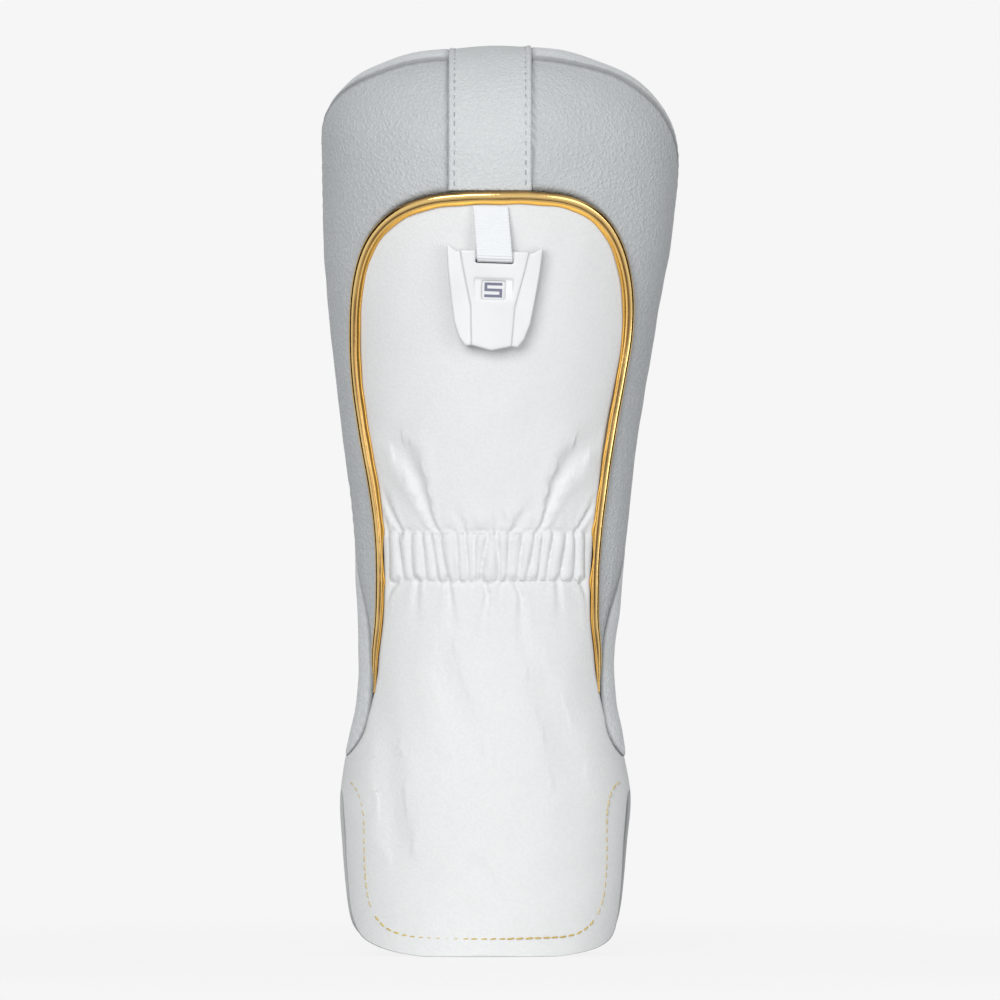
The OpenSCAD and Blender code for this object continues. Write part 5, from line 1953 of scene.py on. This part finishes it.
@dataclass
class Tag:
    """The number tag on its ribbon, in a frame whose X is the ribbon bar and whose face looks to -Y."""

    finish: Finishes
    x: float = 2.4
    z: float = 252.6
    y: float = -44.464
    roll: float = 2.0
    bar_r: float = 1.8
    clearance: float = 0.15
    ribbon_w: float = 12.7
    ribbon_t: float = 0.6
    ribbon_l: float = 17.0
    root_y: float = 2.0
    slant: float = -2.0
    rib: float = 1.1
    rib_t: float = 0.24
    rib_w: float = 0.06
    sag: float = 0.10
    root_apart: float = 0.34
    root_past: float = 0.7
    grain: float = 0.2
    rounds: int = 34
    face_r: float = 0.3
    rear_r: float = 0.28
    disc_r: float = 0.15
    print_r: float = 0.02

    def placed(self, local: Array) -> Array:
        """Points of the tag's frame in the part's frame.

        Args:
            local: Points in the tag's frame.

        Returns:
            Points in millimetres.
        """
        turn = math.radians(self.roll)
        x, y, z = local[..., 0], local[..., 1], local[..., 2]
        return np.stack([self.x + x * math.cos(turn) + z * math.sin(turn), self.y + y,
                         self.z - x * math.sin(turn) + z * math.cos(turn)], -1)

    def ribbon(self) -> bpy.types.Object:
        """Ribbed ribbon, doubled round the bar.

        Returns:
            The ribbon.
        """
        r = self.bar_r + self.clearance + self.ribbon_t / 2
        root = math.hypot(self.root_y, self.ribbon_l)
        aim, open_by = math.atan2(self.ribbon_l, self.root_y), math.acos(r / root)
        arc = np.linspace(aim + open_by, 2 * math.pi + aim - open_by, 90)
        loop = np.stack([r * np.cos(arc), r * np.sin(arc)], 1)
        front = np.array([self.root_y - self.root_apart, self.ribbon_l + self.root_past])
        back = np.array([self.root_y + self.root_apart, self.ribbon_l + self.root_past])
        path = resampled(np.concatenate([front[None], loop, back[None]]), 460)
        ahead = np.gradient(path, axis=0)
        out = np.stack([ahead[:, 1], -ahead[:, 0]], 1)
        out /= -np.linalg.norm(out, axis=1, keepdims=True)
        run = np.concatenate([[0], np.cumsum(np.linalg.norm(np.diff(path, axis=0), axis=1))])[:, None]
        s = np.linspace(-1, 1, 25)[None, :]
        rib = np.abs(np.sin(run * math.pi / self.rib)) ** 0.8
        wide = self.ribbon_w / 2 + self.rib_w * rib
        thick = self.ribbon_t / 2 - self.rib_t + self.rib_t * rib + 0 * s
        sag = self.sag * (1 - s * s) * bump(run, 9, 7)
        faces = []
        for sign in (1, -1):
            yz = path[:, None] + out[:, None] * (sign * thick - sag)[..., None]
            local = np.stack([s * wide + self.slant / self.ribbon_l * yz[..., 1], yz[..., 0], yz[..., 1]], -1)
            faces.append(self.placed(local))
        return shell_object("ribbon_loop", faces[0], faces[1])

    def moulded(self, node: str, name: str, bevel: float, soft: int = 0) -> bpy.types.Object:
        """Copy of a moulded part with its edges rounded.

        Args:
            node: The part's node.
            name: Name of the copy.
            bevel: Radius of the edges in millimetres.
            soft: Rounds of smoothing over the whole moulding.

        Returns:
            The copy.
        """
        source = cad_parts[node]
        mesh = source.data.copy()
        mesh.transform(source.matrix_world)
        work = bmesh.new()
        work.from_mesh(mesh)
        bmesh.ops.remove_doubles(work, verts=work.verts, dist=0.002 * MM)
        bmesh.ops.dissolve_limit(work, angle_limit=math.radians(0.6), verts=work.verts, edges=work.edges)
        work.to_mesh(mesh)
        work.free()
        piece = bpy.data.objects.new(name, mesh)
        bpy.context.scene.collection.objects.link(piece)
        modifier = piece.modifiers.new("edges", "BEVEL")
        modifier.width = bevel * MM
        modifier.segments = 3
        modifier.limit_method = "ANGLE"
        modifier.angle_limit = math.radians(28)
        modifier.harden_normals = True
        if soft:
            grid = piece.modifiers.new("grid", "REMESH")
            grid.mode = "VOXEL"
            grid.voxel_size = self.grain * MM
            grid.use_smooth_shade = True
            even = piece.modifiers.new("even", "SMOOTH")
            even.iterations = soft
        bpy.context.view_layer.update()
        solid = bpy.data.meshes.new_from_object(piece.evaluated_get(bpy.context.evaluated_depsgraph_get()))
        piece.modifiers.clear()
        piece.data = solid
        solid.name = name
        return piece

    def build(self) -> None:
        """Make the ribbon, the tag's two halves and the number dial."""
        dress(self.ribbon(), self.finish.ribbon, "ribbon", "ribbon", "tag_ribbon")
        dress(self.moulded("tag_front", "tag_face", self.face_r, soft=self.rounds), self.finish.plastic,
              "tag", "tag_plastic", "tag_front")
        dress(self.moulded("tag_back", "tag_rear", self.rear_r), self.finish.plastic, "tag",
              "tag_plastic", "tag_back")
        dress(self.moulded("number_dial", "dial_disc", self.disc_r), self.finish.plastic, "dial",
              "tag_plastic", "number_dial")
        dress(self.moulded("dial_numerals", "dial_print", self.print_r), self.finish.ink, "dial",
              "numeral_ink", "dial_numerals")


# ---- Studio ------------------------------------------------------------------------------------------


@dataclass
class Studio:
    """Pale sweep, soft lights and a camera that looks level at the front."""

    scale: float = 363.2
    centre_x: float = 4.36
    centre_z: float = 164.7
    distance: float = 4.0
    sky: float = 0.47
    pale: float = 0.92
    glow: float = 0.94
    floor_r: float = 450.0
    floor_fade: tuple[float, float] = (0.10, 0.42)
    flag_x: float = 450.0
    flag_y: tuple[float, float] = (50.0, -350.0)
    flag_top: float = 600.0
    flag_shade: float = 0.02

    def light(self, name: str, place: tuple, aim: tuple, size: tuple, power: float) -> None:
        """Place a soft box that shines from one point at another.

        Args:
            name: Name of the lamp.
            place: Where it stands, in metres.
            aim: Where it points.
            size: Width and height.
            power: Watts.
        """
        lamp = bpy.data.lights.new(name, "AREA")
        lamp.shape = "RECTANGLE"
        lamp.size, lamp.size_y = size
        lamp.energy = power
        holder = bpy.data.objects.new(name, lamp)
        holder.location = place
        holder.rotation_euler = (Vector(aim) - Vector(place)).to_track_quat("-Z", "Y").to_euler()
        bpy.context.scene.collection.objects.link(holder)

    def world(self) -> None:
        """Light the room evenly, and show a pale background to the camera."""
        pale = self.pale
        world = bpy.data.worlds.new("studio")
        world.use_nodes = True
        nodes = Nodes(world.node_tree)
        world.node_tree.nodes.clear()
        path = nodes.add("ShaderNodeLightPath")
        room = nodes.add("ShaderNodeBackground", {"Color": (0.97, 0.985, 1.0, 1), "Strength": self.sky})
        seen = nodes.add("ShaderNodeBackground", {"Color": (pale, pale, pale, 1), "Strength": 1.0})
        mirrored = nodes.math("MAXIMUM", path.outputs["Is Glossy Ray"], path.outputs["Is Transmission Ray"])
        shown = nodes.math("MAXIMUM", path.outputs["Is Camera Ray"], mirrored)
        mix = nodes.add("ShaderNodeMixShader", {0: shown, 1: room.outputs[0], 2: seen.outputs[0]})
        nodes.add("ShaderNodeOutputWorld", {"Surface": mix.outputs[0]})
        bpy.context.scene.world = world

    def floor(self) -> None:
        """Round floor that keeps a soft shadow of the object and fades into the background."""
        pale = self.pale
        material = bpy.data.materials.new("floor")
        material.use_nodes = True
        nodes = Nodes(material.node_tree)
        shader = material.node_tree.nodes["Principled BSDF"]
        shader.inputs["Base Color"].default_value = (pale, pale, pale, 1)
        shader.inputs["Roughness"].default_value = 0.9
        shader.inputs["Specular IOR Level"].default_value = 0.1
        place = nodes.add("ShaderNodeTexCoord").outputs["Object"]
        reach = nodes.add("ShaderNodeVectorMath", {0: place}, operation="LENGTH").outputs["Value"]
        fade = nodes.spread(reach, *self.floor_fade)
        clear = nodes.add("ShaderNodeBsdfTransparent")
        glow = nodes.add("ShaderNodeEmission", {"Color": (pale, pale, pale, 1), "Strength": 1.0})
        path = nodes.add("ShaderNodeLightPath").outputs["Is Camera Ray"]
        soft = nodes.add("ShaderNodeMixShader", {0: nodes.math("MULTIPLY", path, self.glow),
                                                 1: shader.outputs[0], 2: glow.outputs[0]})
        mix = nodes.add("ShaderNodeMixShader", {0: fade, 1: soft.outputs[0], 2: clear.outputs[0]})
        out = next(n for n in material.node_tree.nodes if n.bl_idname == "ShaderNodeOutputMaterial")
        material.node_tree.links.new(mix.outputs[0], out.inputs["Surface"])
        ring = [(self.floor_r * math.cos(a), self.floor_r * math.sin(a), -0.2)
                for a in np.linspace(0, 2 * math.pi, 64, endpoint=False)]
        disc = mesh_object("floor", np.array(ring), [list(range(64))], False)
        disc.data.materials.append(material)

    def card(self, name: str, corners: list, shade: float) -> None:
        """Flat card that only reflections and light see.

        Args:
            name: Name of the card.
            corners: Its corners in millimetres.
            shade: Its grey.
        """
        material = bpy.data.materials.new(name)
        material.use_nodes = True
        shader = material.node_tree.nodes["Principled BSDF"]
        shader.inputs["Base Color"].default_value = (shade, shade, shade, 1)
        shader.inputs["Roughness"].default_value = 1.0
        piece = mesh_object(name, np.array(corners, float), [[0, 1, 2, 3]], False)
        piece.data.materials.append(material)
        piece.visible_camera = False

    def build(self) -> None:
        """Set up the room, the lights and the camera."""
        self.world()
        self.floor()
        self.light("key", (-0.5, -1.9, 0.85), (0, 0, 0.16), (1.1, 1.0), 23)
        self.light("fill", (1.3, -1.5, 0.4), (0, 0, 0.15), (1.2, 1.2), 9)
        rear, near = self.flag_y
        for side, x in (("left", -self.flag_x), ("right", self.flag_x)):
            corners = [(x, rear, 0), (x, near, 0), (x, near, self.flag_top), (x, rear, self.flag_top)]
            self.card(f"flag_{side}", corners, self.flag_shade)
        lens = bpy.data.cameras.new("camera")
        lens.sensor_width = 36.0
        lens.lens = 36.0 * self.distance / (self.scale * MM)
        lens.clip_end = 20.0
        camera = bpy.data.objects.new("camera", lens)
        camera.location = (self.centre_x * MM, -self.distance, self.centre_z * MM)
        camera.rotation_euler = (math.pi / 2, 0, 0)
        bpy.context.scene.collection.objects.link(camera)
        scene = bpy.context.scene
        scene.camera = camera
        scene.view_settings.view_transform = "Standard"


@dataclass(frozen=True)
class Cut:
    """A piece as it was cut flat: width and length in metres, area in square metres."""

    piece: str
    flat: tuple[float, float]
    area: float | None
    held: str
    rests_on: tuple
    with_pieces: tuple = ()


def main() -> None:
    """Build the cover, its tag and the studio."""
    logging.basicConfig(level=logging.INFO, format="%(message)s")
    finish = Finishes()
    Skin(finish).build()
    CrownStrap(finish).build()
    Welt(finish).build()
    Inside(finish).build()
    Tag(finish).build()
    Studio().build()


if __name__ == "__main__":
    main()
